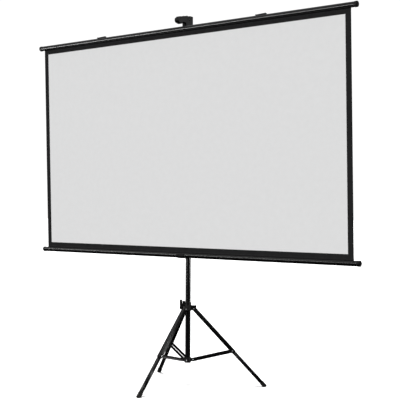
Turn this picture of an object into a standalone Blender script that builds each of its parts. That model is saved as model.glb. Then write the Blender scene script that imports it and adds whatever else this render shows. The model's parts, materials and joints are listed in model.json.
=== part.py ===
# Projection screen on a folding tripod: a taut sheet between two bars on a telescopic mast.
# Metres, +Z up, the viewing side faces -Y. The origin lies on the floor, at the middle of the outline.

from math import asin, atan2, cos, hypot, pi, radians, sin, tan

import bmesh
import bpy

# Sheet: a 100 inch viewing area of 16:9 inside a black border
VIEW_WIDTH = 2.214
VIEW_HEIGHT = 1.245
SIDE_BORDER = 0.034
TOP_BORDER = 0.0285
BOTTOM_BORDER = 0.032
SHEET_THICKNESS = 0.0008

# Hem sleeves and the rods inside them
HEM_ROD_DIAMETER = 0.008
SLEEVE_WALL = 0.0007

# Bars: slotted tubes with a cap on each end
BAR_DIAMETER = 0.030
BAR_WALL = 0.0015
BAR_SLOT = 0.004
BAR_OVERHANG = 0.023
CAP_LENGTH = 0.016
CAP_RIM = 0.00125
CAP_PLUG = 0.013

# Where the bars hang, measured from the floor and from the mast's axis
BOTTOM_BAR_HEIGHT = 0.778
BOTTOM_BAR_REACH = 0.0618
TOP_BAR_REACH = 0.1032

# Mast tubes, outer diameters and lengths
LOWER_DIAMETER = 0.032
MIDDLE_DIAMETER = 0.026
TOP_DIAMETER = 0.022
LOWER_WALL = 0.0013
TUBE_WALL = 0.0012
TUBE_FOOT = 0.137
LOWER_LENGTH = 0.665
MIDDLE_LENGTH = 1.040
MIDDLE_INSERTED = 0.302
TOP_LENGTH = 0.965
BUSH_FLANGE = 0.008
BUSH_SPIGOT = 0.018
BUSH_WALL = 0.003

# Lock collars at the tube tops
LOCK_LENGTH = 0.050
LOCK_GRIP = 0.022
LOCK_WALL = 0.004

# Wing knobs and their clamp screws
KNOB_HUB_RADIUS = 0.0085
KNOB_HUB_LENGTH = 0.0185
WING_START = 0.002
WING_REACH = 0.029
WING_THICKNESS = 0.007
WING_WAIST = 0.0045
SCREW_DIAMETER = 0.006
SCREW_IN_KNOB = 0.010
BOSS_DIAMETER = 0.014
BOSS_REACH = 0.0315

# Leg collar, which slides on the lower tube. The tripod is turned a little about the mast
TRIPOD_TURN = radians(1.75)
LEG_PIVOT_HEIGHT = 0.456
LEG_PIVOT_RADIUS = 0.037
COLLAR_RADIUS = 0.021
COLLAR_BELOW = 0.0125
COLLAR_ABOVE = 0.023
NECK_RADIUS = 0.0195
NECK_LENGTH = 0.017
COLLAR_KNOB_RISE = 0.025
CLAMP_WIDTH = 0.016
CLAMP_HEIGHT = 0.042
LEG_LUG_WIDTH = 0.018
LEG_LUG_RADIUS = 0.0085
FORK_THICKNESS = 0.003
FORK_REACH = 0.0495
FORK_BELOW = 0.009
FORK_ABOVE = 0.020

# Brace hub at the foot of the mast
HUB_PIVOT_HEIGHT = 0.1525
HUB_PIVOT_RADIUS = 0.032
HUB_RADIUS = 0.020
HUB_FLOOR = 0.003
HUB_LENGTH = 0.032
HUB_LUG_RADIUS = 0.0085

# Legs: an upper channel and a lower tube
LEG_ANGLE = radians(43.2)
BRACE_JOINT = 0.339
CHANNEL_DEPTH = 0.023
CHANNEL_WALL = 0.0015
CHANNEL_ABOVE = 0.012
CHANNEL_BELOW = 0.012
LEG_TUBE_WIDTH = 0.018
LEG_TUBE_DEPTH = 0.0205
LEG_TUBE_WALL = 0.0015
LEG_TUBE_OVERLAP = 0.045
LEG_TUBE_CORNER = 0.0035
BOOT_LENGTH = 0.034
BOOT_WALL = 0.0012
BOOT_SOLE = 0.010
BOOT_END_HEIGHT = 0.001

# Braces: pairs of flat bars
BRACE_DEPTH = 0.019
BRACE_THICKNESS = 0.002

# Pins and rivets
PIN_DIAMETER = 0.005
PIN_HEAD_RADIUS = 0.0042
PIN_HEAD_HEIGHT = 0.0018
HEAD_RIM = 0.5

# Bottom clip
CLIP_RING_LENGTH = 0.030
CLIP_RING_WALL = 0.0047
CLIP_WALL = 0.0027
CLIP_WIDTH = 0.060
CLIP_STRAP_WIDTH = 0.024
CLIP_ARM_HEIGHT = 0.012
CLIP_BACK_ANGLE = radians(30)
CLIP_LIP_ANGLE = radians(-215)
CLIP_SCREW_DIAMETER = 0.004
CLIP_SCREW_HEAD_RADIUS = 0.004
CLIP_SCREW_HEAD_LENGTH = 0.0035

# Mast head: a block on the top tube, with a tongue that carries the top bar
HEAD_WIDTH = 0.030
HEAD_RISE = 0.0924
HEAD_TOP_WALL = 0.030
HEAD_BACK = 0.018
HEAD_FRONT = 0.014
HEAD_LUG_RADIUS = 0.010
STEM_REACH = 0.047
STEM_DROP = 0.030

# Hook arm: its cheeks turn on the head's lug. Drops are measured from the pivot
HOOK_PIVOT_REACH = 0.027
HOOK_PIVOT_DROP = 0.017
CHEEK_THICKNESS = 0.0047
HOOK_REACH = 0.1215
HOOK_NOSE_RADIUS = 0.0165
HOOK_NOSE_DROP = 0.020
HOOK_TOOTH_PLACE = 0.059
HOOK_TOOTH_LENGTH = 0.006
HOOK_TOOTH_DROP = 0.0395
HOOK_THROAT_DROP = 0.028
HOOK_RIDGE_HEIGHT = 0.0045
RIDGE_PLACES = (0.1, 0.51, 0.92)
RIDGE_FOOT_SHARE = 0.068
RIDGE_CREST_SHARE = 0.042

# Bar hanger behind the top bar, and the tongue that it drops on
HANGER_WIDTH = 0.024
HANGER_DEPTH = 0.022
HANGER_HEIGHT = 0.026
TONGUE_WIDTH = 0.012
TONGUE_THICKNESS = 0.0054
TONGUE_BASE = 0.008
TONGUE_RISE = 0.018
TONGUE_SETBACK = 0.0285

# Folding hangers on the top bar
FOLDER_PLACES = {"left": -0.620, "right": 0.586}
FOLDER_LENGTH = 0.072
FOLDER_WIDTH = 0.014
FOLDER_BASE = 0.002
FOLDER_EAR = 0.0027
FOLDER_PIN_DIAMETER = 0.0024
FOLDER_PIN_INSET = 0.0065
FOLDER_EYE_RADIUS = 0.0027
LEVER_TIP_THICKNESS = 0.0026
LEVER_LIP_HEIGHT = 0.0045
LEVER_LIP_LENGTH = 0.003

# Gap between pieces that touch, and how finely round shapes are cut
GAP = 0.0003
ROUND = 24
SMALL_ROUND = 12

# Values that follow from the ones above
SHEET_HALF = VIEW_WIDTH / 2 + SIDE_BORDER
BAR_RADIUS = BAR_DIAMETER / 2
BAR_HALF = SHEET_HALF + BAR_OVERHANG
SCREEN_RISE = BAR_DIAMETER + BOTTOM_BORDER + VIEW_HEIGHT + TOP_BORDER
LEAN = asin((TOP_BAR_REACH - BOTTOM_BAR_REACH) / SCREEN_RISE)
TOP_BAR_HEIGHT = BOTTOM_BAR_HEIGHT + SCREEN_RISE * cos(LEAN)
ROD_RADIUS = HEM_ROD_DIAMETER / 2
SLEEVE_RADIUS = ROD_RADIUS + GAP + SLEEVE_WALL
HEM_DROP = BAR_RADIUS - BAR_WALL - SLEEVE_RADIUS - GAP / 3
LOWER_RADIUS = LOWER_DIAMETER / 2
MIDDLE_RADIUS = MIDDLE_DIAMETER / 2
TOP_RADIUS = TOP_DIAMETER / 2
LOWER_END = TUBE_FOOT + LOWER_LENGTH
HEIGHT_LOCK_FOOT = LOWER_END - LOCK_GRIP
CLIP_FOOT = HEIGHT_LOCK_FOOT + LOCK_LENGTH + GAP
PIN_RADIUS = PIN_DIAMETER / 2
PIN_HOLE = PIN_RADIUS + GAP
CHANNEL_HALF = LEG_LUG_WIDTH / 2 + GAP + CHANNEL_WALL
BRACE_FACE = CHANNEL_HALF + 4 * GAP / 3
BRACE_OUTER = BRACE_FACE + BRACE_THICKNESS
FORK_OUTER = BRACE_FACE + FORK_THICKNESS
LEG_LENGTH = (LEG_PIVOT_HEIGHT - BOOT_END_HEIGHT) / cos(LEG_ANGLE)
LEG_TUBE_SHIFT = LEG_TUBE_DEPTH / 2 - CHANNEL_DEPTH / 2 + CHANNEL_WALL + GAP
JOINT_RADIUS = LEG_PIVOT_RADIUS + BRACE_JOINT * sin(LEG_ANGLE)
JOINT_HEIGHT = LEG_PIVOT_HEIGHT - BRACE_JOINT * cos(LEG_ANGLE)
BRACE_RISE = atan2(JOINT_HEIGHT - HUB_PIVOT_HEIGHT, JOINT_RADIUS - HUB_PIVOT_RADIUS)
BRACE_LENGTH = (JOINT_RADIUS - HUB_PIVOT_RADIUS) / cos(BRACE_RISE)
HEAD_TOP = TOP_BAR_HEIGHT + HEAD_RISE
HEAD_FOOT = TOP_BAR_HEIGHT - BAR_RADIUS - TONGUE_BASE
TOP_TUBE_END = HEAD_TOP - HEAD_TOP_WALL - GAP
TOP_TUBE_FOOT = TOP_TUBE_END - TOP_LENGTH
MIDDLE_FOOT = LOWER_END - MIDDLE_INSERTED
MIDDLE_END = MIDDLE_FOOT + MIDDLE_LENGTH
EXTENSION_LOCK_FOOT = MIDDLE_END - LOCK_GRIP
THIRD = 2 * pi / 3
SPOKES = {"front": TRIPOD_TURN, "right": TRIPOD_TURN + THIRD, "left": TRIPOD_TURN - THIRD}
COLLAR_KNOB_AZIMUTH = TRIPOD_TURN - THIRD / 2
ALONG_X = (0, pi / 2, 0)


def material(name, colour, roughness, metallic):
    """One plain finish."""
    made = bpy.data.materials.new(name)
    made.use_nodes = True
    shader = made.node_tree.nodes["Principled BSDF"]
    shader.inputs["Base Color"].default_value = (*colour, 1.0)
    shader.inputs["Roughness"].default_value = roughness
    shader.inputs["Metallic"].default_value = metallic
    return made


def empty(name, parent=None, location=(0, 0, 0), rotation=(0, 0, 0)):
    """A frame that pieces hang from, on a joint's axis where the pieces move."""
    made = bpy.data.objects.new(name, None)
    bpy.context.collection.objects.link(made)
    made.parent = parent
    made.location = location
    made.rotation_euler = rotation
    return made


def add(name, mesh, finish, parent, location=(0, 0, 0), rotation=(0, 0, 0)):
    """One piece of the object."""
    made = bpy.data.objects.new(name, mesh)
    bpy.context.collection.objects.link(made)
    made.parent = parent
    made.location = location
    made.rotation_euler = rotation
    if finish and not mesh.materials:
        mesh.materials.append(finish)
    return made


def combine(target, operation, mesh, location=(0, 0, 0), rotation=(0, 0, 0)):
    """Add a hidden helper shape, given in the target's own frame, with a Boolean."""
    name = f"{target.name}_{operation.lower()}_{len(target.modifiers)}"
    helper = add(name, mesh, None, target, location, rotation)
    helper.hide_render = True
    helper.display_type = "WIRE"
    boolean = target.modifiers.new(name, "BOOLEAN")
    boolean.operation = operation
    boolean.solver = "EXACT"
    boolean.object = helper
    return target


def fuse(target, mesh, location=(0, 0, 0), rotation=(0, 0, 0)):
    return combine(target, "UNION", mesh, location, rotation)


def cut(target, mesh, location=(0, 0, 0), rotation=(0, 0, 0)):
    return combine(target, "DIFFERENCE", mesh, location, rotation)


def finished(shape, name):
    """Turn an edited shape into a mesh with smooth round faces and sharp corners."""
    bmesh.ops.recalc_face_normals(shape, faces=shape.faces)
    mesh = bpy.data.meshes.new(name)
    shape.to_mesh(mesh)
    shape.free()
    mesh.shade_smooth()
    mesh.set_sharp_from_angle(angle=radians(35))
    return mesh


def arc(centre, radius, start, stop, steps):
    """Points along an arc, both ends included."""
    angles = [start + (stop - start) * i / steps for i in range(steps + 1)]
    return [(centre[0] + radius * cos(a), centre[1] + radius * sin(a)) for a in angles]


def circle(centre, radius, sides):
    return arc(centre, radius, 0, 2 * pi * (sides - 1) / sides, sides - 1)


def prism(name, outline, low, high, axis="X"):
    """An outline pulled along an axis. It is given as (y, z) for X, (x, z) for Y and (x, y) for Z."""
    place = {
        "X": lambda a, b: (low, a, b),
        "Y": lambda a, b: (a, low, b),
        "Z": lambda a, b: (a, b, low),
    }[axis]
    pull = {"X": (high - low, 0, 0), "Y": (0, high - low, 0), "Z": (0, 0, high - low)}[axis]
    shape = bmesh.new()
    face = shape.faces.new([shape.verts.new(place(a, b)) for a, b in outline])
    pulled = bmesh.ops.extrude_face_region(shape, geom=[face], use_keep_orig=True)
    moved = [item for item in pulled["geom"] if isinstance(item, bmesh.types.BMVert)]
    bmesh.ops.translate(shape, verts=moved, vec=pull)
    return finished(shape, name)


def box(name, x, y, z):
    """A block between pairs of coordinates."""
    return prism(name, [(x[0], y[0]), (x[1], y[0]), (x[1], y[1]), (x[0], y[1])], z[0], z[1], "Z")


def turned(name, profile, sides=ROUND):
    """A profile of (radius, z) points spun round Z. It closes on itself, or at the axis."""
    shape = bmesh.new()
    points = [shape.verts.new((r, 0, z)) for r, z in profile]
    edges = [shape.edges.new(pair) for pair in zip(points, points[1:])]
    if profile[0][0] > 0 or profile[-1][0] > 0:
        edges.append(shape.edges.new((points[-1], points[0])))
    bmesh.ops.spin(
        shape, geom=points + edges, angle=2 * pi, steps=sides, axis=(0, 0, 1), cent=(0, 0, 0)
    )
    bmesh.ops.remove_doubles(shape, verts=shape.verts, dist=1e-6)
    return finished(shape, name)


def rod(name, radius, low, high, sides=ROUND):
    """A plain round bar along Z."""
    return turned(name, [(0, low), (radius, low), (radius, high), (0, high)], sides)


def pipe(name, radius, wall, low, high, sides=ROUND):
    """A round tube along Z."""
    inner = radius - wall
    return turned(name, [(inner, low), (radius, low), (radius, high), (inner, high)], sides)


def stadium(start, end, radius, steps=8):
    """A (y, z) strip with round ends about two points."""
    heading = atan2(end[1] - start[1], end[0] - start[0])
    far = arc(end, radius, heading - pi / 2, heading + pi / 2, steps)
    near = arc(start, radius, heading + pi / 2, heading + 3 * pi / 2, steps)
    return far + near


def rounded_rectangle(width, depth, corner, steps=2):
    """An (x, y) rectangle about the origin with round corners."""
    points = []
    for turn, (sx, sy) in enumerate([(1, 1), (-1, 1), (-1, -1), (1, -1)]):
        centre = (sx * (width / 2 - corner), sy * (depth / 2 - corner))
        points += arc(centre, corner, turn * pi / 2, (turn + 1) * pi / 2, steps)
    return points


def headed_pin(name, half_span):
    """A rivet along X with a low head on each end, whose heads start at half_span."""
    outer = half_span + PIN_HEAD_HEIGHT
    inner_rim = half_span + PIN_HEAD_HEIGHT * HEAD_RIM
    profile = [(0, -outer), (PIN_RADIUS, -outer), (PIN_HEAD_RADIUS, -inner_rim)]
    profile += [(PIN_HEAD_RADIUS, -half_span), (PIN_RADIUS, -half_span)]
    profile += [(r, -z) for r, z in reversed(profile)]
    return turned(name, profile, SMALL_ROUND)


def wing_knob(name):
    """A hub with two wings, its axis along Z and its face towards the collar at z = 0."""
    hub = add(name, rod(name, KNOB_HUB_RADIUS, 0, KNOB_HUB_LENGTH), BLACK_PLASTIC, None)
    tip = WING_THICKNESS / 2
    reach = WING_REACH - tip
    wing = [(-WING_WAIST / 2, 0), (WING_WAIST / 2, 0)] + arc((0, reach), tip, 0, pi, 6)
    wings = prism(f"{name}_wings", wing, WING_START, KNOB_HUB_LENGTH, "Z")
    fuse(hub, wings)
    fuse(hub, wings, rotation=(0, 0, pi))
    bore = rod(f"{name}_bore", SCREW_DIAMETER / 2 + GAP, -SCREW_IN_KNOB, SCREW_IN_KNOB + GAP, SMALL_ROUND)
    cut(hub, bore)
    return hub


def knob_set(knob_name, screw_name, parent, height, azimuth, tube_radius):
    """A wing knob and its screw on a boss that points away from the mast at the azimuth."""
    pivot = empty(f"{knob_name}_axis", parent, (0, 0, height), (pi / 2, 0, azimuth))
    knob = wing_knob(knob_name)
    knob.parent = pivot
    knob.location = (0, 0, BOSS_REACH + GAP)
    start = tube_radius + GAP
    stop = BOSS_REACH + GAP + SCREW_IN_KNOB
    add(screw_name, rod(screw_name, SCREW_DIAMETER / 2, start, stop, SMALL_ROUND), STEEL, pivot)


def add_boss(collar, height, azimuth, root):
    """The boss that a clamp screw runs in. Its root lies inside the collar's wall."""
    boss = rod(f"{collar.name}_boss", BOSS_DIAMETER / 2, root, BOSS_REACH, SMALL_ROUND)
    fuse(collar, boss, (0, 0, height), (pi / 2, 0, azimuth))


def add_screw_hole(collar, height, azimuth, radius=SCREW_DIAMETER / 2):
    hole = rod(f"{collar.name}_screw_hole", radius + GAP, 0, 2 * BOSS_REACH, SMALL_ROUND)
    cut(collar, hole, (0, 0, height), (pi / 2, 0, azimuth))


def add_bore(collar, radius, low, high):
    cut(collar, rod(f"{collar.name}_bore", radius + GAP, low, high))


def mast_tube(name, radius, wall, foot, end, parent):
    add(name, pipe(name, radius, wall, foot, end), BLACK_PAINT, parent)


def tube_bush(name, radius, wall, outer_bore, foot, parent):
    """The guide on a sliding tube's lower end: a spigot inside it and a flange below it."""
    spigot = radius - wall - GAP
    flange = outer_bore - GAP
    inner = spigot - BUSH_WALL
    low = foot - GAP - BUSH_FLANGE
    profile = [(inner, low), (flange, low), (flange, foot - GAP), (spigot, foot - GAP)]
    profile += [(spigot, foot + BUSH_SPIGOT), (inner, foot + BUSH_SPIGOT)]
    add(name, turned(name, profile), BLACK_PLASTIC, parent)


def lock_collar(name, lower, upper, foot, parent):
    """A clamp on a tube's top end, lower and upper being the radii of the tubes it joins."""
    outer = lower + GAP + LOCK_WALL
    shoulder = foot + LOCK_GRIP + GAP
    top = foot + LOCK_LENGTH
    screw_height = foot + (LOCK_LENGTH + LOCK_GRIP) / 2
    profile = [(lower + GAP, foot), (outer, foot), (outer, top), (upper + GAP, top)]
    profile += [(upper + GAP, shoulder), (lower + GAP, shoulder)]
    collar = add(name, turned(name, profile), BLACK_PLASTIC, parent)
    add_boss(collar, screw_height, pi, (upper + GAP + outer) / 2)
    add_screw_hole(collar, screw_height, pi)
    return screw_height


def lower_mast(mast):
    mast_tube("lower_tube", LOWER_RADIUS, LOWER_WALL, TUBE_FOOT + GAP, LOWER_END, mast)
    screw_height = lock_collar(
        "height_lock_collar", LOWER_RADIUS, MIDDLE_RADIUS, HEIGHT_LOCK_FOOT, mast
    )
    knob_set("height_lock_knob", "height_lock_screw", mast, screw_height, pi, MIDDLE_RADIUS)


def brace_hub(mast):
    """A cup on the lower tube's foot, with a lug for each brace."""
    low = TUBE_FOOT - HUB_FLOOR
    hub = add("brace_hub", rod("brace_hub", HUB_RADIUS, low, low + HUB_LENGTH), BLACK_PLASTIC, mast)
    pivot = (-HUB_PIVOT_RADIUS, HUB_PIVOT_HEIGHT)
    half = BRACE_FACE - GAP
    lug = prism("hub_lug", stadium((-LOWER_RADIUS, pivot[1]), pivot, HUB_LUG_RADIUS), -half, half)
    hole = rod("hub_pin_hole", PIN_HOLE, -BRACE_OUTER, BRACE_OUTER, SMALL_ROUND)
    for azimuth in SPOKES.values():
        fuse(hub, lug, rotation=(0, 0, azimuth))
    add_bore(hub, LOWER_RADIUS, TUBE_FOOT, low + HUB_LENGTH + GAP)
    for azimuth in SPOKES.values():
        place = (HUB_PIVOT_RADIUS * sin(azimuth), -HUB_PIVOT_RADIUS * cos(azimuth), HUB_PIVOT_HEIGHT)
        cut(hub, hole, place, (0, pi / 2, azimuth))


def leg_collar(mast):
    """The sliding casting that carries the legs, each in a fork on either side of a lug."""
    low = LEG_PIVOT_HEIGHT - COLLAR_BELOW
    shoulder = LEG_PIVOT_HEIGHT + COLLAR_ABOVE
    top = shoulder + NECK_LENGTH
    profile = [(0, low), (COLLAR_RADIUS, low), (COLLAR_RADIUS, shoulder)]
    profile += [(NECK_RADIUS, shoulder), (NECK_RADIUS, top), (0, top)]
    collar = add("leg_collar", turned("leg_collar", profile), BLACK_PLASTIC, mast)
    pivot = (-LEG_PIVOT_RADIUS, LEG_PIVOT_HEIGHT)
    half = LEG_LUG_WIDTH / 2
    lug = prism("leg_lug", stadium((-LOWER_RADIUS, pivot[1]), pivot, LEG_LUG_RADIUS), -half, half)
    hole = rod("leg_pin_hole", PIN_HOLE, -2 * FORK_OUTER, 2 * FORK_OUTER, SMALL_ROUND)
    fork_root = FORK_THICKNESS - (COLLAR_RADIUS ** 2 - FORK_OUTER ** 2) ** 0.5
    fork_height = (LEG_PIVOT_HEIGHT - FORK_BELOW, LEG_PIVOT_HEIGHT + FORK_ABOVE)
    cheeks = []
    for near in (BRACE_FACE, -FORK_OUTER):
        across = (near, near + FORK_THICKNESS)
        cheeks.append(box("fork_cheek", across, (-FORK_REACH, fork_root), fork_height))
    for azimuth in SPOKES.values():
        for shape in (lug, *cheeks):
            fuse(collar, shape, rotation=(0, 0, azimuth))
    knob_height = LEG_PIVOT_HEIGHT + COLLAR_KNOB_RISE
    clamp_root = (LOWER_RADIUS + GAP + NECK_RADIUS) / 2
    wide = (-CLAMP_WIDTH / 2, CLAMP_WIDTH / 2)
    tall = (-CLAMP_HEIGHT / 2, CLAMP_HEIGHT / 2)
    clamp = box("clamp_block", wide, tall, (clamp_root, BOSS_REACH))
    fuse(collar, clamp, (0, 0, knob_height), (pi / 2, 0, COLLAR_KNOB_AZIMUTH))
    add_bore(collar, LOWER_RADIUS, low - GAP, top + GAP)
    for azimuth in SPOKES.values():
        place = (LEG_PIVOT_RADIUS * sin(azimuth), -LEG_PIVOT_RADIUS * cos(azimuth), LEG_PIVOT_HEIGHT)
        cut(collar, hole, place, (0, pi / 2, azimuth))
    add_screw_hole(collar, knob_height, COLLAR_KNOB_AZIMUTH)
    knob_set(
        "collar_knob", "collar_knob_screw", mast, knob_height, COLLAR_KNOB_AZIMUTH, LOWER_RADIUS
    )


def leg_channel(name, pivot):
    """The upper half of a leg: a channel open on its inner side, from above the pivot to the joint."""
    half = CHANNEL_HALF
    inner = half - CHANNEL_WALL
    outside = -CHANNEL_DEPTH / 2
    web = outside + CHANNEL_WALL
    inside = CHANNEL_DEPTH / 2
    outline = [(-half, outside), (half, outside), (half, inside), (inner, inside)]
    outline += [(inner, web), (-inner, web), (-inner, inside), (-half, inside)]
    foot = -BRACE_JOINT - CHANNEL_BELOW
    channel = add(name, prism(name, outline, foot, CHANNEL_ABOVE, "Z"), BLACK_PAINT, pivot)
    hole = rod("channel_hole", PIN_HOLE, -2 * half, 2 * half, SMALL_ROUND)
    cut(channel, hole, (0, 0, 0), ALONG_X)
    cut(channel, hole, (0, 0, -BRACE_JOINT), ALONG_X)


def leg_tube(name, pivot):
    """The lower half of a leg, which starts inside the channel."""
    top = -BRACE_JOINT + LEG_TUBE_OVERLAP
    foot = -LEG_LENGTH + BOOT_SOLE + GAP
    outer = rounded_rectangle(LEG_TUBE_WIDTH, LEG_TUBE_DEPTH, LEG_TUBE_CORNER)
    wall = 2 * LEG_TUBE_WALL
    bore = rounded_rectangle(
        LEG_TUBE_WIDTH - wall, LEG_TUBE_DEPTH - wall, LEG_TUBE_CORNER - LEG_TUBE_WALL
    )
    tube = add(name, prism(name, outer, foot, top, "Z"), BLACK_PAINT, pivot, (0, LEG_TUBE_SHIFT, 0))
    cut(tube, prism(f"{name}_bore", bore, foot - BOOT_LENGTH, top + BOOT_LENGTH, "Z"))
    hole = rod("tube_hole", PIN_HOLE, -LEG_TUBE_WIDTH, LEG_TUBE_WIDTH, SMALL_ROUND)
    cut(tube, hole, (0, -LEG_TUBE_SHIFT, -BRACE_JOINT), ALONG_X)


def boot(name, pivot):
    """The rubber boot, cut flat where it stands on the floor."""
    add_on = 2 * (BOOT_WALL + GAP)
    outer = rounded_rectangle(
        LEG_TUBE_WIDTH + add_on, LEG_TUBE_DEPTH + add_on, LEG_TUBE_CORNER + add_on / 2
    )
    bore = rounded_rectangle(
        LEG_TUBE_WIDTH + 2 * GAP, LEG_TUBE_DEPTH + 2 * GAP, LEG_TUBE_CORNER + GAP
    )
    top = -LEG_LENGTH + BOOT_LENGTH
    piece = add(
        name, prism(name, outer, -LEG_LENGTH, top, "Z"), RUBBER, pivot, (0, LEG_TUBE_SHIFT, 0)
    )
    cut(piece, prism(f"{name}_bore", bore, -LEG_LENGTH + BOOT_SOLE, top + BOOT_LENGTH, "Z"))
    floor_drop = LEG_PIVOT_HEIGHT / cos(LEG_ANGLE)
    lean = tan(LEG_ANGLE)
    reach = 2 * LEG_TUBE_DEPTH
    below = [(-reach, -floor_drop - reach * lean), (reach, -floor_drop + reach * lean)]
    below += [(reach, -2 * floor_drop), (-reach, -2 * floor_drop)]
    floor = prism(f"{name}_floor", below, -reach, reach)
    cut(piece, floor, (0, -LEG_TUBE_SHIFT, 0))


def brace_bar(name, pivot, side):
    """A flat bar from a hub lug to the leg. The rivet head of the leg joint is formed on it."""
    outline = stadium((0, 0), (0, BRACE_LENGTH), BRACE_DEPTH / 2)
    flat = prism(name, outline, side * BRACE_FACE, side * BRACE_OUTER)
    piece = add(name, flat, BLACK_PAINT, pivot)
    root = BRACE_OUTER - BRACE_THICKNESS / 2
    rim = BRACE_OUTER + PIN_HEAD_HEIGHT * HEAD_RIM
    crown = BRACE_OUTER + PIN_HEAD_HEIGHT
    head = [(0, root), (PIN_HEAD_RADIUS, root), (PIN_HEAD_RADIUS, rim), (PIN_RADIUS, crown), (0, crown)]
    raised = turned("brace_rivet_head", head, SMALL_ROUND)
    fuse(piece, raised, (0, 0, BRACE_LENGTH), (0, side * pi / 2, 0))
    hole = rod("brace_hole", PIN_HOLE, -2 * BRACE_OUTER, 2 * BRACE_OUTER, SMALL_ROUND)
    cut(piece, hole, (0, 0, 0), ALONG_X)


def spoke(name, azimuth, mast):
    """A leg with its brace, and the pins that hold them."""
    frame = empty(f"{name}_spoke", mast, (0, 0, 0), (0, 0, azimuth))
    leg_axis = (0, -LEG_PIVOT_RADIUS, LEG_PIVOT_HEIGHT)
    hub_axis = (0, -HUB_PIVOT_RADIUS, HUB_PIVOT_HEIGHT)
    add(f"{name}_leg_pin", headed_pin("leg_pin", FORK_OUTER + GAP), STEEL, frame, leg_axis, ALONG_X)
    add(f"{name}_hub_pin", headed_pin("hub_pin", BRACE_OUTER + GAP), STEEL, frame, hub_axis, ALONG_X)
    leg = empty(f"{name}_leg_axis", frame, leg_axis, (-LEG_ANGLE, 0, 0))
    leg_channel(f"{name}_leg_channel", leg)
    leg_tube(f"{name}_leg_tube", leg)
    boot(f"{name}_boot", leg)
    rivet = rod("leg_rivet", PIN_RADIUS, -CHANNEL_HALF, CHANNEL_HALF, SMALL_ROUND)
    add(f"{name}_leg_rivet", rivet, STEEL, leg, (0, 0, -BRACE_JOINT), ALONG_X)
    brace = empty(f"{name}_brace_axis", frame, hub_axis, (pi / 2 - BRACE_RISE, 0, 0))
    brace_bar(f"{name}_brace_bar_a", brace, 1)
    brace_bar(f"{name}_brace_bar_b", brace, -1)


def middle_mast(mast):
    mast_tube("middle_tube", MIDDLE_RADIUS, TUBE_WALL, MIDDLE_FOOT, MIDDLE_END, mast)
    tube_bush(
        "middle_tube_bush", MIDDLE_RADIUS, TUBE_WALL, LOWER_RADIUS - LOWER_WALL, MIDDLE_FOOT, mast
    )
    screw_height = lock_collar(
        "extension_lock_collar", MIDDLE_RADIUS, TOP_RADIUS, EXTENSION_LOCK_FOOT, mast
    )
    knob_set("extension_lock_knob", "extension_lock_screw", mast, screw_height, pi, TOP_RADIUS)


def bottom_clip(mast):
    """A ring on the middle tube, with an arm and a strap down to a hook round the bottom bar."""
    ring_radius = MIDDLE_RADIUS + GAP + CLIP_RING_WALL
    top = CLIP_FOOT + CLIP_RING_LENGTH
    clip = add("bottom_clip", rod("bottom_clip", ring_radius, CLIP_FOOT, top), BLACK_PLASTIC, mast)
    axis = (-BOTTOM_BAR_REACH, BOTTOM_BAR_HEIGHT)
    inner = BAR_RADIUS + GAP
    outer = inner + CLIP_WALL
    strap_back = axis[0] + outer
    strap_front = axis[0] + inner
    half = CLIP_STRAP_WIDTH / 2
    arm_low = CLIP_FOOT + (CLIP_RING_LENGTH - CLIP_ARM_HEIGHT) / 2
    arm_high = arm_low + CLIP_ARM_HEIGHT
    fuse(clip, box("clip_arm", (-half, half), (strap_front, 0), (arm_low, arm_high)))
    fuse(clip, box("clip_strap", (-half, half), (strap_front, strap_back), (axis[1], arm_high)))
    steps = 20
    hook = arc(axis, outer, CLIP_BACK_ANGLE, CLIP_LIP_ANGLE, steps)
    hook += arc(axis, inner, CLIP_LIP_ANGLE, CLIP_BACK_ANGLE, steps)
    fuse(clip, prism("clip_hook", hook, -CLIP_WIDTH / 2, CLIP_WIDTH / 2))
    add_bore(clip, MIDDLE_RADIUS, CLIP_FOOT - GAP, top + GAP)
    height = CLIP_FOOT + CLIP_RING_LENGTH / 2
    add_screw_hole(clip, height, pi, CLIP_SCREW_DIAMETER / 2)
    shank = CLIP_SCREW_DIAMETER / 2
    seat = ring_radius + GAP
    end = seat + CLIP_SCREW_HEAD_LENGTH
    profile = [(0, MIDDLE_RADIUS + GAP), (shank, MIDDLE_RADIUS + GAP), (shank, seat)]
    profile += [(CLIP_SCREW_HEAD_RADIUS, seat), (CLIP_SCREW_HEAD_RADIUS, end), (0, end)]
    screw = turned("clip_screw", profile, SMALL_ROUND)
    add("clip_screw", screw, STEEL, mast, (0, 0, height), (pi / 2, 0, pi))


def bar(name, slot_side, frame, height):
    """A slotted tube with its caps. slot_side is 1 for a slot on top and -1 for one below."""
    inner = BAR_RADIUS - BAR_WALL
    middle = slot_side * pi / 2
    outer_half = asin(BAR_SLOT / 2 / BAR_RADIUS)
    inner_half = asin(BAR_SLOT / 2 / inner)
    outline = arc((0, 0), BAR_RADIUS, middle + outer_half, middle + 2 * pi - outer_half, ROUND)
    outline += arc((0, 0), inner, middle + 2 * pi - inner_half, middle + inner_half, ROUND)
    add(name, prism(name, outline, -BAR_HALF, BAR_HALF), BLACK_PAINT, frame, (0, 0, height))
    plug = inner - GAP
    rim = BAR_RADIUS + CAP_RIM
    round_edge = CAP_LENGTH / 4
    profile = [(0, -CAP_PLUG), (plug, -CAP_PLUG), (plug, GAP), (rim, GAP)]
    profile += [(rim, CAP_LENGTH - round_edge), (rim - round_edge / 3, CAP_LENGTH - round_edge / 3)]
    profile += [(rim - round_edge, CAP_LENGTH), (0, CAP_LENGTH)]
    cap = turned("bar_cap", profile)
    for side_name, side in (("left", -1), ("right", 1)):
        place = (side * BAR_HALF, 0, height)
        add(f"{name}_cap_{side_name}", cap, BLACK_PLASTIC, frame, place, (0, side * pi / 2, 0))


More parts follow.
